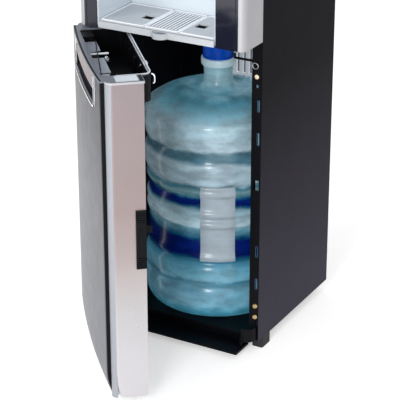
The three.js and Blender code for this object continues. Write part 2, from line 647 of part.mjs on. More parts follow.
function doorFrontPanel() {
  const keep = block(ACROSS, THROUGH, UNDER_CAP);
  return cut(cut(raisedForm(0), raisedForm(DOOR_SKIN)).intersect(keep), handleHole(0));
}

function doorEdgeTrim(side) {
  const shell = cut(doorBox(0), doorBox(DOOR_SKIN));
  const keep = block([PANEL_HALF + GAP, HALF], [DOOR_FRONT, -DOOR_BACK - DOOR_SKIN - GAP],
    [DOOR_BOTTOM, CAP_UNDERSIDE - GAP]);
  const body = shell.intersect(keep);
  return side > 0 ? body : cut(body.mirror([1, 0, 0]), lowerPinHole());
}

const lowerPinHole = () => bar('z', [HINGE_X, HINGE_Y, 0], PIN_RADIUS + PIN_CLEARANCE, DOOR_BOTTOM + 40, 16);

function doorFrame() {
  const inset = DOOR_SKIN + GAP;
  const form = join(doorBox(inset), raisedForm(inset));
  const inner = join(doorBox(inset + DOOR_WALL),
    raisedForm(inset + DOOR_WALL, PANEL_HALF - DOOR_WALL, DOOR_BOTTOM + inset + DOOR_WALL));
  const outer = DOOR_HALF - inset;
  const top = block(ACROSS, [DOOR_FRONT - 1, 20], [CAP_UNDERSIDE - GAP, DOOR_TOP + 1]);
  const noseRoom = block([outer - TRAY_NOSE_WIDTH - 12, outer + 2], [-TRAY_NOSE - 5, 1], [0, TRAY_WALL_HEIGHT + 5]);
  const pocketRoom = block([-POCKET_HALF_WIDTH - 1, POCKET_HALF_WIDTH + 1], [FRONT + 15, 1],
    [DOOR_TOP - POCKET_HEIGHT - 1, DOOR_TOP + 1]);
  return cut(form, inner, top, noseRoom, pocketRoom, handleHole(-1), lowerPinHole(), tongueRoom());
}

function doorTopCap() {
  const whole = join(doorBox(0), raisedForm(0)).intersect(block(ACROSS, [DOOR_FRONT - 1, 20],
    [CAP_UNDERSIDE, DOOR_TOP + 1]));
  const room = raise(pocketPlan(-GAP), CAP_UNDERSIDE - 1, DOOR_TOP + 1, 5);
  const pinHole = bar('z', [HINGE_X, HINGE_Y, CAP_UNDERSIDE - 1], PIN_RADIUS + PIN_CLEARANCE, DOOR_CAP + 3, 16);
  return cut(whole, room, pinHole);
}

function handleTrim() {
  const ring = cut(runY(handleOutline(GAP), ...THROUGH, 5), runY(handleOutline(HANDLE_TRIM), ...THROUGH, 5));
  return cut(raisedForm(-1), raisedForm(DOOR_SKIN + 3)).intersect(ring).intersect(block(ACROSS, THROUGH, UNDER_CAP));
}

const GRIP_SUNK = DOOR_SKIN + 1;    // plate's front, behind the panel's
function handleScoop() {
  const cup = runY(handleOutline(HANDLE_TRIM + GAP), DOOR_FRONT, SCOOP_BACK, 5);
  const inside = runY(handleOutline(HANDLE_TRIM + GAP + SCOOP_WALL), DOOR_FRONT - 1, SCOOP_BACK - SCOOP_WALL, 5)
    .intersect(block(ACROSS, THROUGH, [HANDLE_BOTTOM, SCOOP_TOP - SCOOP_WALL]));
  const keep = block(ACROSS, THROUGH, [HANDLE_BOTTOM, SCOOP_TOP]);
  const plateRoom = cut(raisedForm(0), raisedForm(GRIP_SUNK + GRIP_THICKNESS + GAP))
    .intersect(block(ACROSS, THROUGH, [SCOOP_TOP - SCOOP_WALL - 1, SCOOP_TOP + 1]));
  return cut(cup.intersect(keep).intersect(raisedForm(2)), inside, plateRoom);
}

function gripPlate() {
  const margin = HANDLE_TRIM + SCOOP_WALL + 2 * GAP;
  const keep = block(ACROSS, THROUGH, [DOOR_TOP - GRIP_BOTTOM, CAP_UNDERSIDE - GAP]);
  return cut(raisedForm(GRIP_SUNK), raisedForm(GRIP_SUNK + GRIP_THICKNESS))
    .intersect(runY(handleOutline(margin), ...THROUGH, 5)).intersect(keep);
}

function pocketPlan(inset, back = POCKET_REACH) {
  return roundedRect(-POCKET_HALF_WIDTH + inset, POCKET_HALF_WIDTH - inset, POCKET_FRONT + inset, back - inset,
    POCKET_CORNER - inset);
}

function pocketTub() {
  const front = SCOOP_BACK + 1.5;
  const plan = (inset) => roundedRect(-POCKET_HALF_WIDTH + inset, POCKET_HALF_WIDTH - inset, front + inset,
    POCKET_REACH - inset, POCKET_CORNER - inset);
  const top = DOOR_TOP - POCKET_RIM - GAP;
  const low = DOOR_TOP - POCKET_HEIGHT;
  const w = POCKET_WALL;
  const whole = join(raise(plan(0), low, top, 5), raise(pocketPlan(0), POCKET_LEDGE_Z, top, 5));
  return cut(whole, raise(plan(w), low + w, top + 1, 5), raise(pocketPlan(w), POCKET_LEDGE_Z + w, top + 1, 5));
}

function pocketRim() {
  return cut(raise(pocketPlan(0), DOOR_TOP - POCKET_RIM, DOOR_TOP, 5),
    raise(pocketPlan(POCKET_RIM), DOOR_TOP - POCKET_RIM - 1, DOOR_TOP + 1, 5));
}

const LATCH_BACK = -DOOR_BACK - DOOR_SKIN - GAP;
function latchBox() {
  const box = block([DOOR_HALF + GAP, DOOR_HALF + LATCH_PROUD], [LATCH_BACK - LATCH_WIDTH, LATCH_BACK],
    [LATCH_LOW, LATCH_LOW + LATCH_HEIGHT]);
  let body = box;
  for (let i = 0; i < 5; i += 1) {
    for (const z of [LATCH_LOW + 3 + i * 4, LATCH_LOW + LATCH_HEIGHT - 5 - i * 4]) {
      body = cut(body, block([DOOR_HALF + LATCH_PROUD - 1, HALF + 9], [LATCH_BACK - LATCH_WIDTH - 1, LATCH_BACK + 1], [z, z + 2]));
    }
  }
  return body;
}

const tongueRoom = () => block([TONGUE_X - 0.4, TONGUE_X + TONGUE_WIDTH + 0.4], [LATCH_BACK - 5, LATCH_BACK + 1],
  [TONGUE_LOW - 0.4, TONGUE_LOW + TONGUE_HEIGHT + 0.4]);

function latchTongue() {
  const z = [TONGUE_LOW, TONGUE_LOW + TONGUE_HEIGHT];
  const tip = -DOOR_BACK + TONGUE_REACH;
  const stem = block([TONGUE_X, TONGUE_X + TONGUE_WIDTH - 1.5], [LATCH_BACK - 4.5, tip], z);
  const nose = block([TONGUE_X, TONGUE_X + TONGUE_WIDTH], [tip - 3, tip], z);
  return join(stem, nose);
}

// ---------------------------------------------------------------- fascia and alcove
function fasciaSide(side) {
  const plan = (inset) => {
    const shape = new THREE.Shape();
    const radius = CORNER_RADIUS - inset;
    shape.moveTo(HALF - CORNER_RADIUS, FRONT + inset);
    shape.absarc(HALF - inset - radius, FRONT + inset + radius, radius, -Math.PI / 2, 0);
    shape.lineTo(HALF - inset, -GAP);
    shape.lineTo(HALF - CORNER_RADIUS, -GAP);
    return shape;
  };
  const whole = raise(plan(0), FASCIA_BOTTOM, COVER_BOTTOM - GAP, 8);
  const inside = new THREE.Shape();
  const radius = CORNER_RADIUS - 2;
  inside.moveTo(HALF - CORNER_RADIUS - 1, FRONT + 2);
  inside.absarc(HALF - 2 - radius, FRONT + 2 + radius, radius, -Math.PI / 2, 0);
  inside.lineTo(HALF - 2, 1);
  inside.lineTo(HALF - CORNER_RADIUS - 1, 1);
  const body = cut(whole, raise(inside, FASCIA_BOTTOM + 2, COVER_BOTTOM, 8));
  return side > 0 ? body : body.mirror([1, 0, 0]);
}

function column(side) {
  const x0 = (side > 0 ? ALCOVE_RIGHT : -ALCOVE_LEFT) + GAP;
  const x1 = HALF - CORNER_RADIUS - GAP;
  const face = block([x0, x1], [FRONT, FRONT + PLASTIC], [FASCIA_BOTTOM, ALCOVE_TOP]);
  const left = block([x0, x0 + PLASTIC], [FRONT, -GAP], [FASCIA_BOTTOM, ALCOVE_TOP]);
  const right = block([x1 - PLASTIC, x1], [FRONT, -GAP], [FASCIA_BOTTOM, ALCOVE_TOP]);
  const groove = block([x1 - 5, x1 - 3.8], [FRONT - 1, FRONT + 1], [FASCIA_BOTTOM - 1, ALCOVE_TOP + 1]);
  const body = cut(join(face, left, right), groove);
  return side > 0 ? body : body.mirror([1, 0, 0]);
}

function alcoveLiner() {
  const low = DECK + GAP;
  const whole = block([ALCOVE_LEFT, ALCOVE_RIGHT], [FRONT + 3, ALCOVE_BACK + PLASTIC], [low, ALCOVE_TOP]);
  const inside = block([ALCOVE_LEFT + PLASTIC, ALCOVE_RIGHT - PLASTIC], [FRONT + 2, ALCOVE_BACK], [low - 1, ALCOVE_TOP - PLASTIC]);
  let body = cut(whole, inside);
  for (const x of spigotPlaces()) {
    body = cut(body, bar('z', [x, SPIGOT_Y, ALCOVE_TOP - PLASTIC - 1], SPIGOT_RADIUS - 3 + GAP, PLASTIC + 2, 20));
  }
  return body;
}

function spigotPlaces() {
  return [-SPIGOT_PITCH / 2, SPIGOT_PITCH / 2];
}

function spigot(x) {
  const roof = ALCOVE_TOP - PLASTIC;
  const neck = SPIGOT_RADIUS - 3;
  const low = roof - SPIGOT_DROP;
  const profile = [[3, low], [6, low], [8, low + 12], [SPIGOT_RADIUS, low + 16], [SPIGOT_RADIUS, roof - GAP],
    [neck, roof - GAP], [neck, ALCOVE_TOP + 8], [3, ALCOVE_TOP + 8], [3, low]];
  return turn(profile, x, SPIGOT_Y, 20);
}

function controlPanel() {
  const half = HALF - CORNER_RADIUS - GAP;
  const low = ALCOVE_TOP + GAP;
  const high = COVER_BOTTOM - GAP;
  let body = block([-half, half], [FRONT, -GAP], [low, high]);
  body = cut(body, block([-half + PLASTIC, half - PLASTIC], [FRONT + PLASTIC, 1], [low - 1, high - PLASTIC]));
  for (const x of buttonPlaces()) {
    body = cut(body, bar('y', [x, FRONT - 1, BUTTON_HEIGHT], BUTTON_RADIUS + 0.6, PLASTIC + 2, 28));
  }
  for (const x of [-BUTTON_PITCH, BUTTON_PITCH]) {
    for (const z of [BUTTON_HEIGHT - 33, BUTTON_HEIGHT + 33]) {
      body = join(body, bar('y', [x, FRONT + PLASTIC - 0.5, z], 3, BOARD_STANDOFF + 0.5, 10));
    }
  }
  return body;
}

function buttonPlaces() {
  return [-BUTTON_PITCH / 2, BUTTON_PITCH / 2];
}

function button(x) {
  const face = FRONT - BUTTON_PROUD;
  const cap = bar('y', [x, face, BUTTON_HEIGHT], BUTTON_RADIUS - 1.2, 1.4, 28, BUTTON_RADIUS);
  const body = bar('y', [x, face + 1.4, BUTTON_HEIGHT], BUTTON_RADIUS, BUTTON_PROUD + PLASTIC - 0.5, 28);
  const stem = bar('y', [x, face + BUTTON_PROUD + PLASTIC - 1, BUTTON_HEIGHT], 4,
    BOARD_STANDOFF - BUTTON_TRAVEL - 0.5, 12);
  return join(cap, body, stem);
}

function controlBoard() {
  const y = FRONT + PLASTIC + BOARD_STANDOFF + GAP;
  const half = BUTTON_PITCH + 10;
  let body = block([-half, half], [y, y + 1.6], [BUTTON_HEIGHT - 43, BUTTON_HEIGHT + 43]);
  for (const [x, up, w, h] of [[-60, 25, 30, 20], [50, -25, 24, 16], [0, 27, 16, 12]]) {
    const z = BUTTON_HEIGHT + up;
    body = join(body, block([x - w / 2, x + w / 2], [y + 1, y + 10], [z - h / 2, z + h / 2]));
  }
  return body;
}

// ---------------------------------------------------------------- drip tray
const DRIP_LEFT = ALCOVE_LEFT + PLASTIC + 0.6;
const DRIP_RIGHT = ALCOVE_RIGHT - PLASTIC - 0.6;
const DRIP_TOP = FASCIA_BOTTOM + GAP + DRIP_HEIGHT;

function dripTray() {
  const back = ALCOVE_BACK - 0.6;
  const low = DECK + GAP;
  const whole = block([DRIP_LEFT, DRIP_RIGHT], [FRONT, back], [low, DRIP_TOP]);
  const apron = block([DRIP_LEFT, DRIP_RIGHT], [FRONT, FRONT + DRIP_WALL + 1], [FASCIA_BOTTOM + GAP, low + 1]);
  const sump = block([DRIP_LEFT + DRIP_WALL, DRIP_RIGHT - DRIP_WALL], [FRONT + DRIP_WALL + 1, back - DRIP_WALL],
    [low + DRIP_WALL, DRIP_TOP + 1]);
  const disc = bar('z', [0, FRONT + 4, FASCIA_BOTTOM + GAP], DRIP_PULL_RADIUS - 3, DRIP_HEIGHT - 1, 32, DRIP_PULL_RADIUS);
  const front = block([-30, 30], [FRONT - 30, FRONT + 1], [FASCIA_BOTTOM - 1, DRIP_TOP + 1]);
  const under = bar('z', [0, FRONT + 4, FASCIA_BOTTOM - 1], DRIP_PULL_RADIUS - 7, DRIP_HEIGHT - 2, 32, DRIP_PULL_RADIUS - 5);
  const pull = cut(disc.intersect(front), under);
  return join(cut(whole, sump), apron, pull);
}

function dripGrille() {
  const left = DRIP_LEFT + 1;
  const right = DRIP_RIGHT - 1;
  const low = DRIP_TOP + GAP;
  const y0 = FRONT + 4;
  const y1 = ALCOVE_BACK - 2;
  let body = block([left, right], [y0, y1], [low, low + GRILLE_THICKNESS]);
  const third = right / 3;
  const slots = 9;
  for (let i = 0; i < slots; i += 1) {
    const x = (i - (slots - 1) / 2) * ((2 * third - 10) / slots);
    body = cut(body, block([x - 1.6, x + 1.6], [y0 + 10, y1 - 10], [low - 1, low + GRILLE_THICKNESS + 1]));
  }
  for (const side of [-1, 1]) {
    const x = (side * SPIGOT_PITCH) / 2;
    const reach = GRILLE_HOLE / 2;
    body = cut(body, block([x - reach, x + reach], [SPIGOT_Y - reach, SPIGOT_Y + reach],
      [low - 1, low + GRILLE_THICKNESS + 1]));
  }
  const edge = block([left + 6, right - 6], [y0 + 6, y1 - 6], [low - 3, low + 0.5]);
  const edgeHole = block([left + 8, right - 8], [y0 + 8, y1 - 8], [low - 4, low + 1]);
  return join(body, cut(edge, edgeHole));
}

// ---------------------------------------------------------------- machinery behind the alcove
const PUMP_Z = DECK + 42;
const PUMP_RIGHT = -INNER_HALF + 96.5;
const PUMP_Y = BOTTLE_CENTRE_Y;
const COLD_X = -INNER_HALF + COLD_RADIUS + 16.5;
const HOT_X = INNER_HALF - HOT_RADIUS - 24.5;
const TANK_Y = REAR - TANK_BEHIND;
const COMPRESSOR_LEFT = HOSE_RADIUS + 8.5;
const COMPRESSOR_HALF = (INNER_HALF - 12.5 - COMPRESSOR_LEFT) / 2;
const INLET_X = 100;
const INLET_Z = 90;
const INLET_RADIUS = 8;

function tankShelf() {
  const plate = block([-INNER_HALF, INNER_HALF], [ALCOVE_BACK + PLASTIC + 12, REAR], [TANK_SHELF, TANK_SHELF + 2]);
  return cut(plate, bar('z', [PUMP_RIGHT - 44, PUMP_Y, TANK_SHELF - 1], HOSE_RADIUS + 1, 5, 16));
}

function tank(x, radius, height) {
  const low = TANK_SHELF + 2 + GAP;
  const profile = [[0, low], [radius - 8, low], [radius, low + 8], [radius, low + height - 14], [radius - 12, low + height - 3],
    [14, low + height], [14, low + height + 8], [0, low + height + 8]];
  return turn(profile, x, TANK_Y, 28);
}

function compressor() {
  const x = COMPRESSOR_LEFT + COMPRESSOR_HALF;
  const y = TANK_Y + 2;
  const low = DECK + GAP;
  const r = COMPRESSOR_HALF - 6;
  const h = TANK_SHELF - DECK - COMPRESSOR_HEADROOM;
  const shell = turn([[0, low + 12], [r - 16, low + 12], [r - 3, low + h * 0.14], [r, low + h * 0.26], [r, low + h * 0.55],
    [r + 3, low + h * 0.57], [r + 3, low + h * 0.6], [r, low + h * 0.62], [r - 6, low + h * 0.82], [r - 26, low + h],
    [0, low + h + 4]], x, y, 28);
  const half = COMPRESSOR_HALF;
  let body = join(shell, block([x - half, x + half], [y - 34, y + 34], [low + 9, low + 13]));
  for (const sx of [-1, 1]) {
    for (const sy of [-1, 1]) {
      body = join(body, bar('z', [x + sx * (half - 10), y + sy * 26, low], 7, 10, 14));
    }
  }
  return body;
}

function pump() {
  const low = DECK + GAP;
  const right = PUMP_RIGHT;
  const box = block([right - 62, right], [PUMP_Y - 26, PUMP_Y + 26], [low, low + 62]);
  const motor = bar('x', [right - 84, PUMP_Y, PUMP_Z - 4], 20, 24, 20);
  const riser = bar('z', [right - 44, PUMP_Y, low + 61], HOSE_RADIUS, TANK_SHELF + 2 - low - 61, 14);
  return join(box, motor, riser);
}

function outletPipe(tankX, tankRadius, spigotX) {
  const start = TANK_Y - tankRadius - GAP;
  const z = ALCOVE_TOP + PIPE_RISE;
  return pipe([[tankX, start, z], [tankX, start - 28, z], [spigotX, SPIGOT_Y, z], [spigotX, SPIGOT_Y, ALCOVE_TOP + 8 + GAP]],
    PIPE_RADIUS, 10);
}

function condenser() {
  const y = DEPTH + CONDENSER_STANDOFF;
  const half = HALF - 40;
  const low = DECK + 24;
  const top = COVER_BOTTOM - 120;
  const corners = [];
  for (let i = 0; i < CONDENSER_RUNS; i += 1) {
    const z = low + (i * (top - low)) / (CONDENSER_RUNS - 1);
    const ends = i % 2 ? [half, -half] : [-half, half];
    corners.push([ends[0], y, z], [ends[1], y, z]);
  }
  let body = pipe(corners, CONDENSER_TUBE, 14, 3);
  for (const x of [-100, -50, 0, 50, 100]) {
    body = join(body, block([x - 1.2, x + 1.2], [y - 1.2, y + 1.2], [low - 12, top + 12]));
  }
  for (const x of [-100, 100]) {
    for (const z of [low + 18, top - 18]) {
      body = join(body, block([x - 5, x + 5], [DEPTH + GAP, y + 1.5], [z - 5, z + 5]));
    }
  }
  return body;
}

const SWITCH_Z = COVER_BOTTOM - 45;
function switchPlaces() {
  return [-SWITCH_PITCH / 2, SWITCH_PITCH / 2];
}

function rocker(x) {
  const shape = new THREE.Shape();
  const y = REAR + 1;
  shape.moveTo(y - 3, SWITCH_Z - SWITCH_HEIGHT / 2);
  shape.lineTo(y + 5.5, SWITCH_Z - SWITCH_HEIGHT / 2 + 0.5);
  shape.lineTo(y + 2.2, SWITCH_Z);
  shape.lineTo(y + 2.2, SWITCH_Z + SWITCH_HEIGHT / 2 - 0.5);
  shape.lineTo(y - 3, SWITCH_Z + SWITCH_HEIGHT / 2 - 1);
  return runX(shape, x - SWITCH_WIDTH / 2 + 1, x + SWITCH_WIDTH / 2 - 1);
}

function powerInlet() {
  const sleeve = bar('y', [INLET_X, REAR - 8, INLET_Z], INLET_RADIUS, 12, 20);
  const flange = bar('y', [INLET_X, DEPTH + GAP, INLET_Z], INLET_RADIUS + 4, 4, 24);
  const bore = bar('y', [INLET_X, REAR - 9, INLET_Z], 4.2, 30, 14);
  return cut(join(sleeve, flange), bore);
}

// ---------------------------------------------------------------- assembly
piece('base_pan', basePan(), blackSteel);
const footX = HALF - FOOT_WIDTH / 2 - 1;
const footFront = FOOT_LENGTH / 2 + FOOT_SETBACK;
const footRear = DEPTH - FOOT_REAR_LENGTH / 2 - FOOT_REAR_SETBACK;
const footRearX = HALF - FOOT_REAR_INSET;
piece('foot_front_left', foot(-footX, footFront, FOOT_LENGTH), rubber);
piece('foot_front_right', foot(footX, footFront, FOOT_LENGTH), rubber);
piece('foot_rear_left', foot(-footRearX, footRear, FOOT_REAR_LENGTH), rubber);
piece('foot_rear_right', foot(footRearX, footRear, FOOT_REAR_LENGTH), rubber);
piece('bottle_tray', bottleTray(), blackPlastic);
piece('side_panel_left', sidePanel(-1), blackSteel);
piece('side_panel_right', sidePanel(1), blackSteel);
piece('rear_panel', rearPanel(), blackSteel);
piece('top_cover', topCover(), blackPlastic);
piece('door_jamb_left', jamb(-1), blackPlastic);
piece('door_jamb_right', jamb(1), blackPlastic);
piece('jamb_screw_upper', jambScrew(JAMB_SCREWS[0]), brass);
piece('jamb_screw_lower', jambScrew(JAMB_SCREWS[1]), brass);
piece('compartment_deck', deck(), blackPlastic);
piece('rear_vent_grille', ventGrille(), palePlastic);
piece('probe_hanger', probeHanger(), blackPlastic);
piece('bottle', bottle(), bottlePlastic);
piece('bottle_cap', bottleCap(), bluePlastic);
piece('probe', probe(), palePlastic);
piece('probe_hose', probeHose(), hosePlastic);

function lowerHinge() {
  const plate = block([HINGE_X - 8, HINGE_X + 26], [HINGE_Y - 8, JAMB_THICKNESS],
    [LIP_THICKNESS + GAP, LIP_THICKNESS + GAP + HINGE_PLATE]);
  const pin = bar('z', [HINGE_X, HINGE_Y, LIP_THICKNESS + GAP], PIN_RADIUS, HINGE_PLATE + PIN_LENGTH, 16);
  return join(plate, pin);
}

function upperHinge() {
  const top = FASCIA_BOTTOM - GAP;
  const plate = block([HINGE_X - 8, HINGE_X + 50], [HINGE_Y - 8, -GAP], [top - HINGE_PLATE, top]);
  const pin = bar('z', [HINGE_X, HINGE_Y, top - HINGE_PLATE - PIN_LENGTH], PIN_RADIUS, PIN_LENGTH + 1, 16);
  return join(plate, pin);
}

piece('hinge_lower', lowerHinge(), zinc);
piece('hinge_upper', upperHinge(), zinc);

// The door's pieces are drawn closed and swing together about the hinge axis.
const doorSwing = new THREE.Group();
doorSwing.position.set(HINGE_X, HINGE_Y, 0);
doorSwing.rotation.z = THREE.MathUtils.degToRad(-DOOR_OPEN);
cooler.add(doorSwing);
const door = new THREE.Group();
door.position.set(-HINGE_X, -HINGE_Y, 0);
doorSwing.add(door);
piece('door_front_panel', doorFrontPanel(), stainless, door);
piece('door_edge_trim_left', doorEdgeTrim(-1), silver, door);
piece('door_edge_trim_right', doorEdgeTrim(1), silver, door);
piece('door_frame', doorFrame(), blackPlastic, door);
piece('door_top_cap', doorTopCap(), greyPlastic, door);
piece('handle_trim', handleTrim(), chrome, door);
piece('handle_scoop', handleScoop(), blackPlastic, door);
piece('grip_plate', gripPlate(), roseSteel, door);
piece('pocket_tub', pocketTub(), blackPlastic, door);
piece('pocket_rim', pocketRim(), chrome, door);
piece('latch_box', latchBox(), blackPlastic, door);
piece('latch_tongue', latchTongue(), blackPlastic, door);

piece('fascia_side_left', fasciaSide(-1), silver);
piece('fascia_side_right', fasciaSide(1), silver);
piece('fascia_column_left', column(-1), glossBlack);
piece('fascia_column_right', column(1), glossBlack);
piece('alcove_liner', alcoveLiner(), whitePlastic);
const names = ['cold', 'hot'];
spigotPlaces().forEach((x, i) => piece(`spigot_${names[i]}`, spigot(x), palePlastic));
piece('control_panel', controlPanel(), glossBlack);
const buttonPaint = [bluePlastic, redPlastic];
buttonPlaces().forEach((x, i) => piece(`button_${names[i]}`, button(x), buttonPaint[i]));
piece('control_board', controlBoard(), boardGreen);
piece('drip_tray', dripTray(), whitePlastic);
piece('drip_grille', dripGrille(), palePlastic);
piece('tank_shelf', tankShelf(), zinc);
piece('cold_tank', tank(COLD_X, COLD_RADIUS, COLD_HEIGHT), palePlastic);
piece('hot_tank', tank(HOT_X, HOT_RADIUS, HOT_HEIGHT), stainless);
piece('compressor', compressor(), blackSteel);
piece('pump', pump(), palePlastic);
piece('pipe_cold', outletPipe(COLD_X, COLD_RADIUS, -SPIGOT_PITCH / 2), copper);
piece('pipe_hot', outletPipe(HOT_X, HOT_RADIUS, SPIGOT_PITCH / 2), copper);
piece('condenser', condenser(), blackSteel);
switchPlaces().forEach((x, i) => piece(`switch_${names[i]}`, rocker(x), redPlastic));
piece('power_inlet', powerInlet(), rubber);

export default cooler;
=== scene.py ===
"""Looks of the bottom load water cooler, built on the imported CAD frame.

The CAD nodes keep their places and get finishes. Every other piece is drawn here in millimetres, in the
frame's own axes, and the door's pieces are drawn as if the door were closed.
"""
import math

import bmesh
import bpy
from mathutils import Matrix, Vector


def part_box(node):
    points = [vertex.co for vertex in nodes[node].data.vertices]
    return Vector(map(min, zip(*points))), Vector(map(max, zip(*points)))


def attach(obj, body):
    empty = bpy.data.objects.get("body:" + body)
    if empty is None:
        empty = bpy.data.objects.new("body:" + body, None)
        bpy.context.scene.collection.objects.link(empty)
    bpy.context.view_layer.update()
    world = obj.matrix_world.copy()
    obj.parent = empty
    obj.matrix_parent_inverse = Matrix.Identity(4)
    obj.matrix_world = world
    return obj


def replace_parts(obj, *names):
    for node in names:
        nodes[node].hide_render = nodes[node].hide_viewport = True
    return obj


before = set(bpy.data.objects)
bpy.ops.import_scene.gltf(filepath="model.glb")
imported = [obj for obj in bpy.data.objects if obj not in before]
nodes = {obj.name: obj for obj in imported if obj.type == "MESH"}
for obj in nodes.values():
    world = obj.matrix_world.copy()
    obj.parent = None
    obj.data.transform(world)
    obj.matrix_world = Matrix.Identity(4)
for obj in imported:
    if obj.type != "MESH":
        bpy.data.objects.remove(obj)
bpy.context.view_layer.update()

MM = 0.001


def box_mm(name):
    """A node's lowest and highest corner in millimetres."""
    return [[value / MM for value in corner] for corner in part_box(name)]


HINGE = Vector((-150, -42, 0)) * MM      # the door's pins
DOOR_OPEN = math.radians(-49)            # how the door stands at rest
DOOR = Matrix.Translation(HINGE) @ Matrix.Rotation(DOOR_OPEN, 4, "Z") @ Matrix.Translation(-HINGE)
DOOR_TOP = box_mm("door_top_cap")[1][2]
DOOR_LOW = box_mm("door_edge_trim_right")[0][2]
BOTTLE_Y = 140
BOTTLE_BASE = 17.6
FASCIA_FRONT, FASCIA_LOW = box_mm("fascia_side_right")[0][1:]
REAR_Y = box_mm("rear_panel")[1][1]

# ---------------------------------------------------------------- camera
PHOTO_PX = 400
SENSOR_WIDTH = 36
CAMERA_AT = Vector((1.35, -2.34, 1.45))
AZIMUTH = math.radians(29.10)
ELEVATION = math.radians(23.34)
FOCAL_PX = 1660.9
PRINCIPAL_PX = (203.6, 184.9)     # where the camera's axis meets the photo


def link(obj):
    """Puts an object in the scene."""
    bpy.context.scene.collection.objects.link(obj)
    return obj


def place_camera():
    """The camera that took the photo, as a lens with a shift."""
    data = bpy.data.cameras.new("camera")
    data.sensor_width = SENSOR_WIDTH
    data.lens = FOCAL_PX * SENSOR_WIDTH / PHOTO_PX
    data.shift_x = (PHOTO_PX / 2 - PRINCIPAL_PX[0]) / PHOTO_PX
    data.shift_y = (PRINCIPAL_PX[1] - PHOTO_PX / 2) / PHOTO_PX
    data.clip_end = 50
    camera = link(bpy.data.objects.new("camera", data))
    level = math.cos(ELEVATION)
    back = Vector((math.sin(AZIMUTH) * level, -math.cos(AZIMUTH) * level, math.sin(ELEVATION)))
    right = Vector((math.cos(AZIMUTH), math.sin(AZIMUTH), 0))
    turn = Matrix((right, back.cross(right), back)).transposed().to_4x4()
    camera.matrix_world = Matrix.Translation(CAMERA_AT) @ turn
    bpy.context.scene.camera = camera


# ---------------------------------------------------------------- materials
SCUFF_FINENESS = 2.7      # how much finer the roughness drifts than the colour
RELIEF = 0.4 * MM
COAT_ROUGHNESS = 0.08


def noise(tree, place, scale, detail=2, stretch=(1, 1, 1)):
    """A noise over the object, squeezed along each axis by stretch."""
    mapping = tree.nodes.new("ShaderNodeMapping")
    mapping.inputs["Scale"].default_value = stretch
    tree.links.new(place, mapping.inputs["Vector"])
    texture = tree.nodes.new("ShaderNodeTexNoise")
    texture.inputs["Scale"].default_value = scale
    texture.inputs["Detail"].default_value = detail
    tree.links.new(mapping.outputs["Vector"], texture.inputs["Vector"])
    return texture.outputs["Fac"]


def rescaled(tree, value, source=(0, 1), target=(0, 1)):
    """A value taken from one range to another."""
    spread = tree.nodes.new("ShaderNodeMapRange")
    limits = {"From Min": source[0], "From Max": source[1], "To Min": target[0], "To Max": target[1]}
    for socket, limit in limits.items():
        spread.inputs[socket].default_value = limit
    tree.links.new(value, spread.inputs["Value"])
    return spread.outputs["Result"]


def drifting(tree, factor, color, mottle):
    """A colour that drifts darker and lighter by a share of itself."""
    mix = tree.nodes.new("ShaderNodeMix")
    mix.data_type = "RGBA"
    tree.links.new(factor, mix.inputs["Factor"])
    mix.inputs["A"].default_value = [c * (1 - mottle) for c in color] + [1]
    mix.inputs["B"].default_value = [min(1.0, c * (1 + mottle)) for c in color] + [1]
    return mix.outputs["Result"]


def multiplied(tree, color, tint):
    """One colour multiplied by another."""
    mix = tree.nodes.new("ShaderNodeMix")
    mix.data_type = "RGBA"
    mix.blend_type = "MULTIPLY"
    mix.inputs["Factor"].default_value = 1
    tree.links.new(color, mix.inputs["A"])
    tree.links.new(tint, mix.inputs["B"])
    return mix.outputs["Result"]


def banded(tree, place, drift, ramp, ripple):
    """The colours of a ramp up the object, in bands that wave with the drift."""
    split = tree.nodes.new("ShaderNodeSeparateXYZ")
    tree.links.new(place, split.inputs["Vector"])
    wave = tree.nodes.new("ShaderNodeMath")
    wave.operation = "MULTIPLY_ADD"
    wave.inputs[1].default_value = ripple
    tree.links.new(drift, wave.inputs[0])
    tree.links.new(split.outputs["Z"], wave.inputs[2])
    low = ramp[0][0]
    high = ramp[-1][0]
    colors = tree.nodes.new("ShaderNodeValToRGB")
    elements = colors.color_ramp.elements
    for z, _ in ramp[1:-1]:
        elements.new((z - low) / (high - low))
    for element, (_, tint) in zip(elements, ramp):
        element.color = (*tint, 1)
    tree.links.new(rescaled(tree, wave.outputs["Value"], (low, high)), colors.inputs["Fac"])
    return colors.outputs["Color"]


def relief(tree, grain, strength):
    """Normals of a fine texture."""
    bump = tree.nodes.new("ShaderNodeBump")
    bump.inputs["Strength"].default_value = strength
    bump.inputs["Distance"].default_value = RELIEF
    tree.links.new(grain, bump.inputs["Height"])
    return bump.outputs["Normal"]


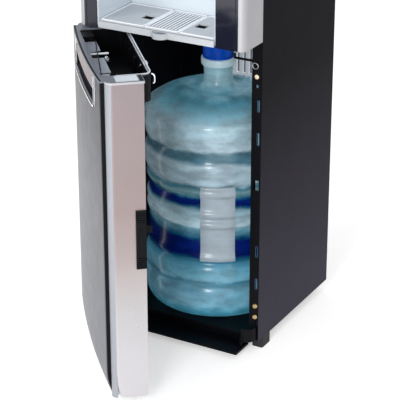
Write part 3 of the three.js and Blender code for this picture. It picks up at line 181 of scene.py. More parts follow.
def material(name, color, rough, metallic=0.0, *, mottle=0.06, mottle_scale=14, mottle_stretch=(1, 1, 1),
             mottle_reach=0.5, rough_spread=0.06, bump=0.05, bump_scale=900, stretch=(1, 1, 1), coat=0.0,
             ior=1.5, edge_tint=1.0, ramp=None, ripple=0.0, glow=0.0):
    """A procedural finish: colour drift, a roughness drift and a fine surface texture.

    A small mottle_reach makes the drift's spots stand out. stretch squeezes the fine texture along each
    axis, for brushing. edge_tint dims what is reflected at a glancing angle. ramp is ((z, colour), ...) up
    the object, ripple is how far its bands wave, and glow is the share of the colour that the finish gives
    off as a painted glow, light that no lamp gives.
    """
    mat = bpy.data.materials.new(name)
    mat.use_nodes = True
    tree = mat.node_tree
    shader = tree.nodes["Principled BSDF"]
    shader.inputs["Metallic"].default_value = metallic
    shader.inputs["IOR"].default_value = ior
    shader.inputs["Specular Tint"].default_value = (edge_tint, edge_tint, edge_tint, 1)
    shader.inputs["Coat Weight"].default_value = coat
    shader.inputs["Coat Roughness"].default_value = COAT_ROUGHNESS
    place = tree.nodes.new("ShaderNodeTexCoord").outputs["Object"]
    drift = noise(tree, place, mottle_scale, 4, mottle_stretch)
    reach = rescaled(tree, drift, (0.5 - mottle_reach, 0.5 + mottle_reach))
    shown = drifting(tree, reach, color, mottle)
    if ramp:
        shown = multiplied(tree, shown, banded(tree, place, drift, ramp, ripple))
    tree.links.new(shown, shader.inputs["Base Color"])
    # The glow is painted light: part of the colour is given off as if the finish were lit.
    if glow:
        tree.links.new(shown, shader.inputs["Emission Color"])
        shader.inputs["Emission Strength"].default_value = glow
    roughness = (max(0.02, rough - rough_spread), min(1.0, rough + rough_spread))
    scuff = noise(tree, place, mottle_scale * SCUFF_FINENESS)
    tree.links.new(rescaled(tree, scuff, target=roughness), shader.inputs["Roughness"])
    if bump:
        grain = noise(tree, place, bump_scale, stretch=stretch)
        tree.links.new(relief(tree, grain, bump), shader.inputs["Normal"])
    return mat


def srgb(*shown):
    """A colour given as it shows, 0 to 255, as linear values."""
    scaled = [value / 255 for value in shown]
    return tuple(v / 12.92 if v <= 0.04045 else ((v + 0.055) / 1.055) ** 2.4 for v in scaled)


BRUSHED_UP = (1, 1, 0.012)
BRUSHED_ACROSS = (0.012, 1, 1)
BOTTLE_PLASTIC = {"mottle_stretch": (1, 1, 2.4), "coat": 0.3}

# What a finish's colour is multiplied by at heights in metres, all of it painted light: the side panels are
# darkest halfway up, a painted shade with a painted floor reflection that lightens them lower down, and the
# door's steel and its silver edges darken towards the top by painted shade, the edges with a rose tint that
# is a painted reflection.
PANEL_PAINTED_LIGHT = ((0.0, (2.0, 2.0, 2.2)), (0.25, (1.1, 1.1, 1.2)), (0.5, (0.2, 0.2, 0.22)),
               (0.62, (0.2, 0.2, 0.22)), (1.08, (0.5, 0.5, 0.5)))
DOOR_PAINTED_SHADE = ((0.0, (1, 1, 1)), (0.34, (1, 1, 1)), (0.48, (0.6, 0.6, 0.62)), (0.57, (0.36, 0.36, 0.40)))
EDGE_PAINTED_REFLECTION = ((0.0, (0.72, 0.72, 0.74)), (0.10, (0.68, 0.68, 0.70)), (0.17, (0.61, 0.61, 0.61)),
              (0.26, (0.48, 0.42, 0.41)), (0.35, (0.38, 0.31, 0.30)), (0.57, (0.35, 0.30, 0.31)))

# Colours of the bottle by height over its base: its own water-blue below and pale frosted shoulder, with
# painted shade in the dark bands where the ridges fold the view and painted highlights in the pale rings
# beside them. The drift that makes the bands wave is 0.5 on average.
BOTTLE_COLOUR_AND_PAINTED_LIGHT = (
    (0, (96, 176, 204)), (12, (70, 160, 190)), (30, (112, 170, 194)), (68, (104, 160, 184)),
    (75, (58, 124, 152)), (81, (112, 170, 192)), (104, (92, 156, 182)), (119, (24, 100, 130)),
    (127, (2, 22, 92)), (157, (4, 28, 98)), (163, (20, 88, 120)), (182, (104, 154, 172)),
    (190, (168, 196, 208)), (214, (150, 184, 198)), (222, (36, 96, 122)), (227, (2, 22, 96)),
    (238, (4, 34, 108)), (243, (34, 100, 124)), (252, (120, 156, 164)), (259, (50, 108, 126)),
    (268, (156, 182, 196)), (304, (158, 184, 196)), (311, (70, 112, 130)), (326, (84, 122, 138)),
    (334, (166, 192, 204)), (380, (160, 192, 206)), (404, (92, 164, 188)), (424, (150, 192, 206)),
    (496, (160, 198, 210)))
RIPPLE = 22      # how far the bands wave up and down
WATER_COLOUR_AND_PAINTED_LIGHT = tuple(((BOTTLE_BASE + height + RIPPLE / 2) * MM, srgb(*tint)) for height, tint in BOTTLE_COLOUR_AND_PAINTED_LIGHT)

# The side panels' colour follows the height ramp above: painted shade halfway up and a painted floor
# reflection lower down.
steel_paint_painted_light = material("steel_paint_painted_light", srgb(46, 44, 50), 0.36, ior=1.07, bump=0.12, bump_scale=700,
                       ramp=PANEL_PAINTED_LIGHT)
steel_black = material("steel_black", srgb(8, 9, 14), 0.36, ior=1.15, bump=0.12, bump_scale=700)
black_moulded = material("black_moulded", srgb(9, 10, 14), 0.44, ior=1.2, bump=0.16, bump_scale=1200)
black_gloss = material("black_gloss", srgb(24, 26, 40), 0.16, coat=0.5, bump=0.0)
grey_column = material("grey_column", srgb(44, 45, 54), 0.28, ior=1.3, coat=0.2, bump=0.03)
# The door's steel darkens towards the top by the height ramp above: painted shade.
door_steel_painted_shade = material("door_steel_painted_shade", srgb(110, 111, 118), 0.34, 1.0, edge_tint=0.84, bump=0.10, bump_scale=420,
                      stretch=BRUSHED_UP, ramp=DOOR_PAINTED_SHADE)
# The silver edges darken and turn rose towards the top by the height ramp above: a painted reflection.
edge_silver_painted_reflection = material("edge_silver_painted_reflection", srgb(222, 219, 221), 0.3, 0.4, bump=0.04, bump_scale=600,
                       ramp=EDGE_PAINTED_REFLECTION)
# A pale strip on the edge moulding's round corner: a painted sheen.
corner_silver_painted_sheen = material("corner_silver_painted_sheen", srgb(150, 153, 160), 0.4, 0.2, ior=1.3, bump=0.0)
fascia_silver = material("fascia_silver", srgb(170, 170, 174), 0.5, 0.35, bump=0.03, bump_scale=600)
bright_trim = material("bright_trim", srgb(226, 230, 236), 0.25, 0.3, bump=0.0)
# The grip plate is steel; its rose-brown colour is a painted reflection.
steel_plate_painted_rose = material("steel_plate_painted_rose", srgb(112, 94, 92), 0.3, 0.8, bump=0.08, bump_scale=420,
                      stretch=BRUSHED_ACROSS)
chrome = material("chrome", srgb(236, 238, 242), 0.08, 1.0, rough_spread=0.02, bump=0.0)
ring_chrome = material("ring_chrome", srgb(236, 238, 242), 0.22, 0.6, rough_spread=0.02, bump=0.0)
grey_moulded = material("grey_moulded", srgb(104, 110, 121), 0.45, bump=0.12, bump_scale=1000)
tub_grey = material("tub_grey", srgb(150, 156, 168), 0.4, bump=0.10, bump_scale=900)
scoop_dark = material("scoop_dark", srgb(44, 48, 58), 0.24, coat=0.4, bump=0.03)
alcove_white = material("alcove_white", srgb(208, 217, 224), 0.32, coat=0.2, mottle=0.02, bump=0.03)
tray_white = material("tray_white", srgb(190, 194, 199), 0.35, mottle=0.03, bump=0.05)
# The grille borders' glow is painted light.
rim_white_painted_glow = material("rim_white_painted_glow", srgb(236, 239, 244), 0.3, coat=0.2, mottle=0.02, bump=0.02, glow=0.18)
pull_line = material("pull_line", srgb(112, 120, 134), 0.4, bump=0.03)
# The wells' dark colour is painted shade in the recesses.
drain_well_painted_shade = material("drain_well_painted_shade", srgb(18, 20, 26), 0.5, bump=0.05)
pale_moulded = material("pale_moulded", srgb(214, 217, 222), 0.45, bump=0.08, bump_scale=1000)
# The vent's glow is painted light that makes it show pale.
vent_pale_painted_glow = material("vent_pale_painted_glow", srgb(214, 217, 222), 0.45, bump=0.08, bump_scale=1000, glow=0.4)
brass = material("brass", srgb(206, 180, 134), 0.34, 0.9, bump=0.03)
# The slot rims' blue-grey is a painted highlight on the slots' edges.
slot_edge_painted_highlight = material("slot_edge_painted_highlight", srgb(66, 92, 118), 0.3, ior=1.3, bump=0.02)
plug_pale = material("plug_pale", srgb(222, 206, 178), 0.4, bump=0.03)
cap_blue = material("cap_blue", srgb(0, 84, 206), 0.4, ior=1.3, bump=0.05)
button_red = material("button_red", srgb(178, 38, 44), 0.3, coat=0.4, bump=0.0)
lamp_lens = material("lamp_lens", srgb(210, 226, 214), 0.12, coat=0.6, bump=0.0)
rubber = material("rubber", srgb(34, 34, 37), 0.8, bump=0.25, bump_scale=800)
hose_white = material("hose_white", srgb(216, 220, 222), 0.4, bump=0.03)
copper = material("copper", srgb(190, 118, 76), 0.3, 0.95, mottle=0.12, bump=0.04)
zinc = material("zinc", srgb(168, 170, 174), 0.4, 0.8, mottle=0.15, mottle_scale=90, bump=0.05)
coil_black = material("coil_black", srgb(24, 25, 28), 0.5, 0.2, bump=0.05)
board_green = material("board_green", srgb(28, 104, 58), 0.35, mottle=0.2, mottle_scale=120, coat=0.3,
                       bump=0.05)
bare_patch = material("bare_patch", srgb(160, 176, 188), 0.34, mottle=0.12, mottle_scale=24,
                      mottle_reach=0.2, bump=0.04, **BOTTLE_PLASTIC)
# The neck ring's glow is painted light.
neck_clear_painted_glow = material("neck_clear_painted_glow", srgb(196, 220, 230), 0.2, ior=1.4, mottle=0.1, bump=0.03, glow=0.25)
# The bottle's colour ramp holds painted shade bands and painted highlight rings, and its glow is painted
# light.
bottle_aqua_painted_light = material("bottle_aqua_painted_light", (1, 1, 1), 0.26, ior=1.4, mottle=0.42, mottle_scale=22,
                       mottle_reach=0.15, bump=0.22, bump_scale=360, ramp=WATER_COLOUR_AND_PAINTED_LIGHT, ripple=RIPPLE * MM,
                       glow=0.34, **BOTTLE_PLASTIC)

FINISHES = (
    (steel_black, "base_pan"),
    (steel_paint_painted_light, "side_panel_left side_panel_right rear_panel condenser"),
    (black_moulded, "bottle_tray top_cover door_jamb_left door_jamb_right compartment_deck probe_hanger"),
    (black_moulded, "door_frame handle_scoop pocket_tub latch_box latch_tongue compressor"),
    (black_gloss, "fascia_column_right control_panel"),
    (grey_column, "fascia_column_left"),
    (door_steel_painted_shade, "door_front_panel"),
    (edge_silver_painted_reflection, "door_edge_trim_left door_edge_trim_right"),
    (fascia_silver, "fascia_side_left fascia_side_right"),
    (steel_plate_painted_rose, "grip_plate"),
    (ring_chrome, "handle_trim"),
    (grey_moulded, "door_top_cap pocket_rim"),
    (alcove_white, "alcove_liner"),
    (tray_white, "drip_tray drip_grille"),
    (pale_moulded, "probe spigot_cold spigot_hot cold_tank pump"),
    (vent_pale_painted_glow, "rear_vent_grille"),
    (brass, "jamb_screw_upper jamb_screw_lower"),
    (bottle_aqua_painted_light, "bottle"),
    (cap_blue, "bottle_cap button_cold"),
    (button_red, "button_hot switch_cold switch_hot"),
    (hose_white, "probe_hose"),
    (copper, "pipe_cold pipe_hot"),
    (zinc, "hinge_lower hinge_upper tank_shelf hot_tank"),
    (board_green, "control_board"),
    (rubber, "power_inlet foot_front_left foot_front_right foot_rear_left foot_rear_right"),
)
ROUND = set("bottle bottle_cap probe probe_hose spigot_cold spigot_hot cold_tank hot_tank compressor "
            "pipe_cold pipe_hot condenser button_cold button_hot".split())


CREASE = 35      # degrees between faces that show as an edge


def soften_edges(obj, width_mm=0.6):
    """A small bevel on an object's sharp edges."""
    edge = obj.modifiers.new("edge", "BEVEL")
    edge.width = width_mm * MM
    edge.segments = 2
    edge.limit_method = "ANGLE"
    edge.angle_limit = math.radians(40)
    edge.harden_normals = True


def shade_smooth(mesh, sharp):
    """Smooth shading, with a crease at every edge that turns by more than sharp degrees."""
    for face in mesh.polygons:
        face.use_smooth = True
    mesh.set_sharp_from_angle(angle=math.radians(sharp))


def dress_nodes():
    """Gives every CAD node its finish and soft edges, and swells the ring round the grip recess."""
    for finish, names in FINISHES:
        for name in names.split():
            obj = nodes[name]
            obj.data.materials.clear()
            obj.data.materials.append(finish)
            shade_smooth(obj.data, CREASE)
            if name not in ROUND:
                soften_edges(obj)
    swell = nodes["handle_trim"].modifiers.new("swell", "DISPLACE")
    swell.strength = 1.1 * MM
    swell.mid_level = 0


# ---------------------------------------------------------------- building pieces
def piece(name, form, mat, body="cabinet", place=None, sharp=CREASE):
    """A mesh piece in millimetres that rides on a body; place moves it from where it is drawn."""
    verts, faces = form
    mesh = bpy.data.meshes.new(name)
    mesh.from_pydata([Vector(v) * MM for v in verts], [], faces)
    if place is not None:
        mesh.transform(place)
    shape = bmesh.new()
    shape.from_mesh(mesh)
    bmesh.ops.recalc_face_normals(shape, faces=shape.faces)
    shape.to_mesh(mesh)
    shape.free()
    shade_smooth(mesh, sharp)
    mesh.materials.append(mat)
    obj = link(bpy.data.objects.new(name, mesh))
    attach(obj, body)
    return obj


def on_door(name, form, mat):
    """A piece of the door, drawn as if the door were closed."""
    return piece(name, form, mat, "door", DOOR)


def gather(forms):
    """Several (verts, faces) forms as one."""
    verts, faces = [], []
    for more, sides in forms:
        faces += [[i + len(verts) for i in side] for side in sides]
        verts += more
    return verts, faces


def between_rings(first, second, count):
    """Quads that join two rings of points, given where each ring starts."""
    quads = []
    for k in range(count):
        n = (k + 1) % count
        quads.append([first + k, first + n, second + n, second + k])
    return quads


def turned(profile, segments, centre=(0, 0, 0), upright=True):
    """A turned form about Z, or about Y if it isn't upright.

    The profile is (radius, height) and ends on the axis or closes on itself.
    """
    closed = profile[0] == profile[-1]
    rings = profile[:-1] if closed else profile
    verts, faces, starts = [], [], []
    for radius, height in rings:
        count = 1 if radius == 0 else segments
        starts.append((len(verts), count))
        for k in range(count):
            turn = 2 * math.pi * k / segments
            a = radius * math.cos(turn)
            b = radius * math.sin(turn)
            spot = (a, b, height) if upright else (a, height, b)
            verts.append(tuple(Vector(spot) + Vector(centre)))
    pairs = list(zip(starts, starts[1:]))
    if closed:
        pairs.append((starts[-1], starts[0]))
    for (low, many), (high, more) in pairs:
        for k in range(segments):
            n = (k + 1) % segments
            quad = [low + k % many, low + n % many, high + n % more, high + k % more]
            corners = list(dict.fromkeys(quad))
            if len(corners) > 2:
                faces.append(corners)
    return verts, faces


def tube(path, radius, sides=8, closed=False):
    """A round tube along points."""
    points = [Vector(p) for p in path]
    count = len(points)
    verts, faces = [], []
    side = None
    for i, point in enumerate(points):
        after = points[(i + 1) % count] if closed else points[min(i + 1, count - 1)]
        before = points[i - 1] if closed else points[max(i - 1, 0)]
        along = (after - before).normalized()
        if side is None:
            side = along.orthogonal().normalized()
        side = (side - along * side.dot(along)).normalized()
        over = along.cross(side)
        for k in range(sides):
            turn = 2 * math.pi * k / sides
            verts.append(tuple(point + (side * math.cos(turn) + over * math.sin(turn)) * radius))
    for i in range(count if closed else count - 1):
        faces += between_rings(i * sides, (i + 1) % count * sides, sides)
    if not closed:
        faces.append(list(range(sides)))
        faces.append([(count - 1) * sides + k for k in range(sides)])
    return verts, faces


FLAT = ((1, 0, 0), (0, 1, 0), (0, 0, 1))           # drawn in plan, run upwards
FROM_FRONT = ((1, 0, 0), (0, 0, 1), (0, 1, 0))     # drawn as seen from the front, run backwards
FROM_SIDE = ((0, 1, 0), (0, 0, 1), (1, 0, 0))      # drawn as seen from the side, run to the right


def prism(outline, depth, axes=FLAT, at=(0, 0, 0), hole=None):
    """An outline (u, v) run along w by a depth; axes gives u, v and w. A hole has as many points."""
    u, v, w = (Vector(axis) for axis in axes)
    count = len(outline)

    def raised(points, height):
        """Points of the outline's plane at a height over it."""
        return [tuple(Vector(at) + u * a + v * b + w * height) for a, b in points]

    verts = raised(outline, 0) + raised(outline, depth)
    faces = between_rings(0, count, count)
    if hole is None:
        faces += [list(range(count))[::-1], list(range(count, 2 * count))]
        return verts, faces
    verts += raised(hole, 0) + raised(hole, depth)
    faces += between_rings(3 * count, 2 * count, count)
    faces += between_rings(2 * count, 0, count)
    faces += between_rings(count, 3 * count, count)
    return verts, faces


def arc(x, y, radius, turns):
    """Points round a centre, at turns given in degrees."""
    spots = [math.radians(turn) for turn in turns]
    return [(x + radius * math.cos(turn), y + radius * math.sin(turn)) for turn in spots]


def rounded(x0, x1, y0, y1, radius, steps=4):
    """Points of a rounded rectangle."""
    corners = ((x1 - radius, y0 + radius, -90), (x1 - radius, y1 - radius, 0),
               (x0 + radius, y1 - radius, 90), (x0 + radius, y0 + radius, 180))
    points = []
    for x, y, start in corners:
        points += arc(x, y, radius, [start + 90 * k / steps for k in range(steps + 1)])
    return points


def eased(points):
    """The points of an open line with each corner cut twice, so that it curves."""
    for _ in range(2):
        cut = [points[0]]
        for (a, b), (c, d) in zip(points, points[1:]):
            cut.append((a * 0.75 + c * 0.25, b * 0.75 + d * 0.25))
            cut.append((a * 0.25 + c * 0.75, b * 0.25 + d * 0.75))
        points = cut + [points[-1]]
    return points


# ---------------------------------------------------------------- bottle
RADIUS = 134
BAND = 127                # radius between the ridges at the bottle's waist
NECK = 26
SHOULDER = 373
CAP_TOP = BOTTLE_BASE + 496.3
RIDGES = ((124, 10), (189, 9), (210, 9), (250, 10))     # middle and half height of each ridge
KNURLS = 60


def bottle_outline():
    """The bottle's skin from its base to its mouth, as (radius, height over its base)."""
    line = [(RADIUS - 40, 8), (RADIUS - 30, 2), (RADIUS - 22, 0), (RADIUS - 10, 4), (RADIUS - 3, 14),
            (RADIUS, 26), (RADIUS, 58), (RADIUS - 3, 63), (RADIUS - 3, 67), (RADIUS, 72), (RADIUS, 102),
            (BAND, 112)]
    for middle, reach in RIDGES:
        crest = reach * 0.35
        line += [(BAND, middle - reach), (BAND + 4, middle - crest), (BAND + 4, middle + crest),
                 (BAND, middle + reach)]
    line += [(BAND, 262), (RADIUS, 270), (RADIUS, 302), (RADIUS - 5, 310), (RADIUS - 5, 325), (RADIUS, 334)]
    line += [(RADIUS, SHOULDER), (RADIUS - 3, SHOULDER + 7), (RADIUS - 12, SHOULDER + 13),
             (RADIUS - 24, SHOULDER + 21), (RADIUS - 49, SHOULDER + 31), (NECK + 34, SHOULDER + 38),
             (NECK + 26, SHOULDER + 34), (NECK + 12, SHOULDER + 35), (NECK + 5, SHOULDER + 41),
             (NECK, SHOULDER + 49)]
    line += [(NECK, 448), (NECK + 3.5, 451), (NECK + 3.5, 463), (NECK - 1.5, 465), (NECK - 1.5, 495)]
    return eased(line)


def bottle_sheet(outline, turns, heights, proud, thick=0.5, steps=18):
    """A thin sheet on the bottle's skin, between two turns in degrees from its front and two heights."""
    line = [(r, h) for r, h in outline if heights[0] <= h <= heights[1]]
    wide = steps + 1
    tall = len(line)
    layer = wide * tall
    verts, faces = [], []
    for lift in (proud, proud - thick):
        for r, h in line:
            for k in range(wide):
                turn = math.radians(turns[0] + (turns[1] - turns[0]) * k / steps)
                x = (r + lift) * math.sin(turn)
                verts.append((x, BOTTLE_Y - (r + lift) * math.cos(turn), h + BOTTLE_BASE))
    for i in range(tall - 1):
        for k in range(steps):
            a = i * wide + k
            quad = [a, a + 1, a + wide + 1, a + wide]
            faces += [quad, [layer + corner for corner in reversed(quad)]]
    edge = list(range(wide))
    edge += [i * wide + steps for i in range(1, tall)]
    edge += [(tall - 1) * wide + k for k in range(steps - 1, -1, -1)]
    edge += [i * wide for i in range(tall - 2, 0, -1)]
    for a, b in zip(edge, edge[1:] + edge[:1]):
        faces.append([a, b, layer + b, layer + a])
    return verts, faces


def knurled_cap():
    """The cap's shell: rings of (radius, height, rib) from its opening, down the outside and back inside.

    Each knurl takes four points of a ring, two raised by the rib and two sunk by it.
    """
    rings = ((20, 1.8, 0), (25.6, 1.8, 0), (27.0, 0.4, 0), (27.2, -1.2, 0.45), (27.2, -24, 0.45),
             (27.6, -26, 0.1), (28.4, -27, 0), (28.4, -29.6, 0), (25.2, -29.6, 0), (25.2, -0.2, 0),
             (20, -0.2, 0))
    around = 4 * KNURLS
    verts, faces = [], []
    for i, (radius, height, rib) in enumerate(rings):
        for k in range(around):
            turn = 2 * math.pi * k / around
            reach = radius + (rib if k % 4 in (0, 1) else -rib)
            verts.append((reach * math.cos(turn), BOTTLE_Y + reach * math.sin(turn), CAP_TOP + height))
        faces += between_rings(i * around, (i + 1) % len(rings) * around, around)
    return verts, faces


def make_bottle():
    """The bottle in place of its plain solid, its bare patch, its cap and the ring under the cap."""
    outline = bottle_outline()
    skin = [(0, 8), *outline, (0, 495)]
    form = turned(skin, 88, (0, BOTTLE_Y, BOTTLE_BASE))
    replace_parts(piece("water_bottle", form, bottle_aqua_painted_light, sharp=60), "bottle")
    patch = bottle_sheet(outline, (14.5, 42.5), (118, 266), 0.7)
    piece("bare_patch", patch, bare_patch)
    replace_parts(piece("knurled_cap", knurled_cap(), cap_blue, sharp=30), "bottle_cap")
    ring = [(24.8, -30.4), (30.2, -30.4), (31, -31.5), (31, -42), (30, -43.5), (26.2, -43.5), (24.8, -42),
            (24.8, -30.4)]
    piece("neck_ring", turned(ring, 64, (0, BOTTLE_Y, CAP_TOP)), neck_clear_painted_glow)


# ---------------------------------------------------------------- jambs
JAMB_SLOTS = ((116, 136), (179, 199),
              (FASCIA_LOW - 186, FASCIA_LOW - 164), (FASCIA_LOW - 125, FASCIA_LOW - 105))
SLOT_X = 154
PLUG_AT = (150, FASCIA_LOW - 63)
RING_AT = (148.5, FASCIA_LOW - 43)


def slot_rim(x, low, high):
    """A raised rim round a slot in a jamb, which with its blue-grey colour stands in for a painted highlight
    on the slot's edge.
    """
    outer = rounded(x - 2.3, x + 2.3, low - 0.8, high + 0.8, 2.1)
    return prism(outer, -0.7, FROM_FRONT, hole=rounded(x - 1.5, x + 1.5, low, high, 1.4))


def dress_jambs():
    """Slot rims coloured as painted highlights and a plug on each jamb, and a ring round the probe hanger's
    foot on the right one.
    """
    plug = [(0, 3), (3.0, 3), (3.0, 0.1), (4.0, 0), (3.8, -1), (2.4, -1.8), (0, -2.1)]
    for side, name in ((1, "right"), (-1, "left")):
        rims = [slot_rim(side * SLOT_X, low, high) for low, high in JAMB_SLOTS]
        piece(f"jamb_slot_highlight_rims_{name}", gather(rims), slot_edge_painted_highlight)
        form = turned(plug, 24, (side * PLUG_AT[0], 0, PLUG_AT[1]), upright=False)
        piece(f"jamb_plug_{name}", form, plug_pale)
    ring = [(x, -3.2, z) for x, z in arc(*RING_AT, 5.2, range(0, 360, 15))]
    piece("hanger_ring", tube(ring, 0.7, 8, closed=True), zinc)


# ---------------------------------------------------------------- drip tray and grille
DRAIN_X = (-52, 52)
GRILLE_RIBS = 10


def grille_borders(low, high):
    """A raised border round each of the grille's three fields, and ribs in the middle one."""
    third = high[0] / 3
    top = high[2] - 0.1
    forms = []
    for x0, x1 in ((low[0], -third), (-third, third), (third, high[0])):
        outer = (x0 + 0.8, x1 - 0.8, low[1] + 0.8, high[1] - 0.8)
        inner = (x0 + 2.6, x1 - 2.6, low[1] + 2.6, high[1] - 2.6)
        forms.append(prism(rounded(*outer, 5), 0.9, at=(0, 0, top), hole=rounded(*inner, 3.6)))
    pitch = (2 * third - 10) / (GRILLE_RIBS - 1)
    for k in range(GRILLE_RIBS):
        x = (k - (GRILLE_RIBS - 1) / 2) * pitch
        forms.append(prism(rounded(x - 1.1, x + 1.1, low[1] + 9, high[1] - 9, 1.0), 0.8, at=(0, 0, top)))
    return gather(forms)


def painted_shade_wells(floor):
    """A dark square well under each hole in the grille, its darkness painted shade."""
    forms = []
    for x in DRAIN_X:
        outer = rounded(x - 13, x + 13, -26, 0, 3)
        forms.append(prism(outer, 5.2, at=(0, 0, floor), hole=rounded(x - 11.5, x + 11.5, -24.5, -1.5, 2)))
    for x in DRAIN_X:
        forms.append(prism(rounded(x - 12.5, x + 12.5, -25.5, -0.5, 2.5), 0.8, at=(0, 0, floor)))
    return gather(forms)


def dress_tray():
    """Borders on the grille, wells in the tray and three arcs on the tray's pull."""
    low, high = box_mm("drip_grille")
    piece("grille_borders", grille_borders(low, high), rim_white_painted_glow, "drip_grille")
    piece("painted_shade_wells", painted_shade_wells(high[2] - 8.4), drain_well_painted_shade, "drip_tray")
    pull_z = box_mm("drip_tray")[0][2] + 10.2
    arcs = []
    for radius in (6.5, 10, 13.5):
        path = [(x, y, pull_z) for x, y in arc(0, -62, radius, range(198, 343, 6))]
        arcs.append(tube(path, 0.7))
    piece("pull_ridges", gather(arcs), pull_line, "drip_tray")


# ---------------------------------------------------------------- door
DOOR_FACE = -80
PANEL_HALF = 146          # half the front panel's width
PANEL_BOW = 6             # how far the panel's middle stands forward of its sides
BOW_RADIUS = (PANEL_HALF ** 2 + PANEL_BOW ** 2) / (2 * PANEL_BOW)
TUB_BACK = 14
TUB_FLOOR = DOOR_TOP - 48
SHELF = DOOR_TOP - 12.5   # top of the ledge at the front of the pocket
ROD_X = -14
EDGE_AT = (147, -54)      # centre of the edge moulding's round corner in plan
LATCH_FACE = 161.9


def pocket_shelf():
    """Grey plates at the front of the pocket, a rod and a wire over them and a dark box at the hinge end."""
    outlines = ([(-84, -67), (-27, -67), (-36, -44), (-84, -44)],
                [(2, -67), (76, -67), (76, -44), (2, -44)],
                [(82, -67), (119, -67), (112, -58), (82, -46)])
    plates = [prism(outline, 1.4, at=(0, 0, SHELF)) for outline in outlines]
    soften_edges(on_door("pocket_plates", gather(plates), tub_grey), 0.3)
    rod = [(ROD_X, -66.6, SHELF + 3), (ROD_X, -34, SHELF + 3)]
    on_door("pocket_rod", tube(rod, 1.9, 12), bright_trim)
    block = prism(rounded(-119, -88, -66, -46, 4), 9.5, at=(0, 0, SHELF))
    soften_edges(on_door("pocket_block", block, black_moulded), 1.0)
    wire = [(-86, -45.5, 3.6), (-60, -47.5, 2.2), (-40, -50, 2.4), (ROD_X, -52.5, 5.9), (30, -56, 2.4),
            (80, -60.5, 2.3), (118, -64, 2.6)]
    laid = [(x, y, SHELF + height) for x, y, height in wire]
    on_door("pocket_wire", tube(laid, 0.8, 6), black_moulded)


def pocket_depths():
    """A spring by the rod, a tab on the back wall and the ribs down it."""
    radius = 2.8
    spring = []
    for t in range(30):
        turn = 0.9 * t
        y = -38 + radius * math.cos(turn)
        z = SHELF - 4 + radius * math.sin(turn)
        spring.append((ROD_X + 2 + 0.5 * t, y, z))
    on_door("pocket_spring", tube(spring, 0.8, 6), chrome)
    leaning = ((1, 0, 0), (0, 0.2, 0.98), (0, 0.98, -0.2))
    tab = prism([(-4, 0), (4, 0), (3.2, 15), (-3.2, 15)], 1.6, leaning, (34, 8.6, TUB_FLOOR + 18))
    on_door("pocket_tab", tab, bright_trim)
    forwards = ((0, -1, 0), (0, 0, 1), (1, 0, 0))
    rib = [(0, 0), (0, 34), (7, 30), (9, 0)]
    ribs = [prism(rib, 2.0, forwards, (x, TUB_BACK - 2.2, TUB_FLOOR + 2.2)) for x in (-92, -46, 0, 46, 92)]
    on_door("pocket_ribs", gather(ribs), black_moulded)


def rim_edge(inset):
    """A line along the rim's back edge and round to its free end."""
    x = 125 - inset
    y = TUB_BACK - inset
    radius = 14 - inset
    return [(-96, y), *arc(x - radius, y - radius, radius, range(90, -1, -15)), (x, -44)]


def rim_line(inset, width):
    """Outline of a strip that follows the rim."""
    return rim_edge(inset) + rim_edge(inset + width)[::-1]


def pocket_rim():
    """A bright double line on the pocket's rim, a painted highlight along its edges."""
    strip = prism(rim_line(-0.2, 2.0), 0.9, at=(0, 0, DOOR_TOP - 0.5))
    on_door("rim_highlight_strip", strip, bright_trim)
    inner = prism(rim_line(2.3, 1.7), 1.2, at=(0, 0, DOOR_TOP - 4.0))
    on_door("rim_highlight_strip_inner", inner, bright_trim)


def bowed(sunk, x):
    """Where the front panel's face lies, moved back by sunk, at a place across the door."""
    return DOOR_FACE + sunk + BOW_RADIUS - math.sqrt(BOW_RADIUS ** 2 - x ** 2)


def door_edges():
    """A dark joint behind the front panel, the free edge's bright top, and a pale strip on its round corner
    that is a painted sheen.
    """
    steps = 28
    across = [PANEL_HALF * (2 * k / steps - 1) for k in range(steps + 1)]
    joint = [(x, bowed(0.3, x)) for x in across] + [(x, bowed(3.6, x)) for x in reversed(across)]
    on_door("panel_joint", prism(joint, 0.3, at=(0, 0, DOOR_TOP - 0.15)), black_moulded)
    outer = [(159.2, -4), *arc(*EDGE_AT, 12.2, range(0, -91, -15))]
    inner = [*arc(*EDGE_AT, 11.4, range(-90, 1, 15)), (158.4, -4)]
    top = prism(outer + inner, 3.6, at=(0, 0, DOOR_TOP - 3.5))
    on_door("moulding_top", top, fascia_silver)
    corner = arc(*EDGE_AT, 12.25, range(-80, -14, 11)) + arc(*EDGE_AT, 11.9, range(-14, -81, -11))
    bevel = prism(corner, DOOR_TOP - 4.5 - DOOR_LOW, at=(0, 0, DOOR_LOW + 0.5))
    on_door("moulding_corner_sheen", bevel, corner_silver_painted_sheen)


def door_end():
    """A white plate and a recess on the door's free end, and a clip and a hook behind the pocket's rim."""
    plate = prism([(127.5, -48), (153.5, -48), (153.5, -12), (127.5, -12)], 0.7, at=(0, 0, DOOR_TOP - 0.25))
    on_door("end_plate", plate, bright_trim)
    recess = prism(rounded(128, 155, -10, -4.6, 1.2), 0.5, at=(0, 0, DOOR_TOP - 0.2))
    on_door("end_recess", recess, black_moulded)
    clip = [prism(rounded(58, 72, 11.2, 17, 1.6), 3.0, at=(0, 0, DOOR_TOP - 4.2)),
            prism(rounded(58, 72, 14.6, 16.6, 0.8), 9, at=(0, 0, DOOR_TOP - 12))]
    on_door("rim_clip", gather(clip), bright_trim)
    bend = [(120, 14.4, 2.4), (123.5, 17.2, 2.6), (125, 18.2, 6), (125, 18.2, 14), (124, 16.2, 17)]
    hook = [(x, y, DOOR_TOP - drop) for x, y, drop in bend]
    on_door("rim_hook", tube(hook, 1.2, 8), bright_trim)


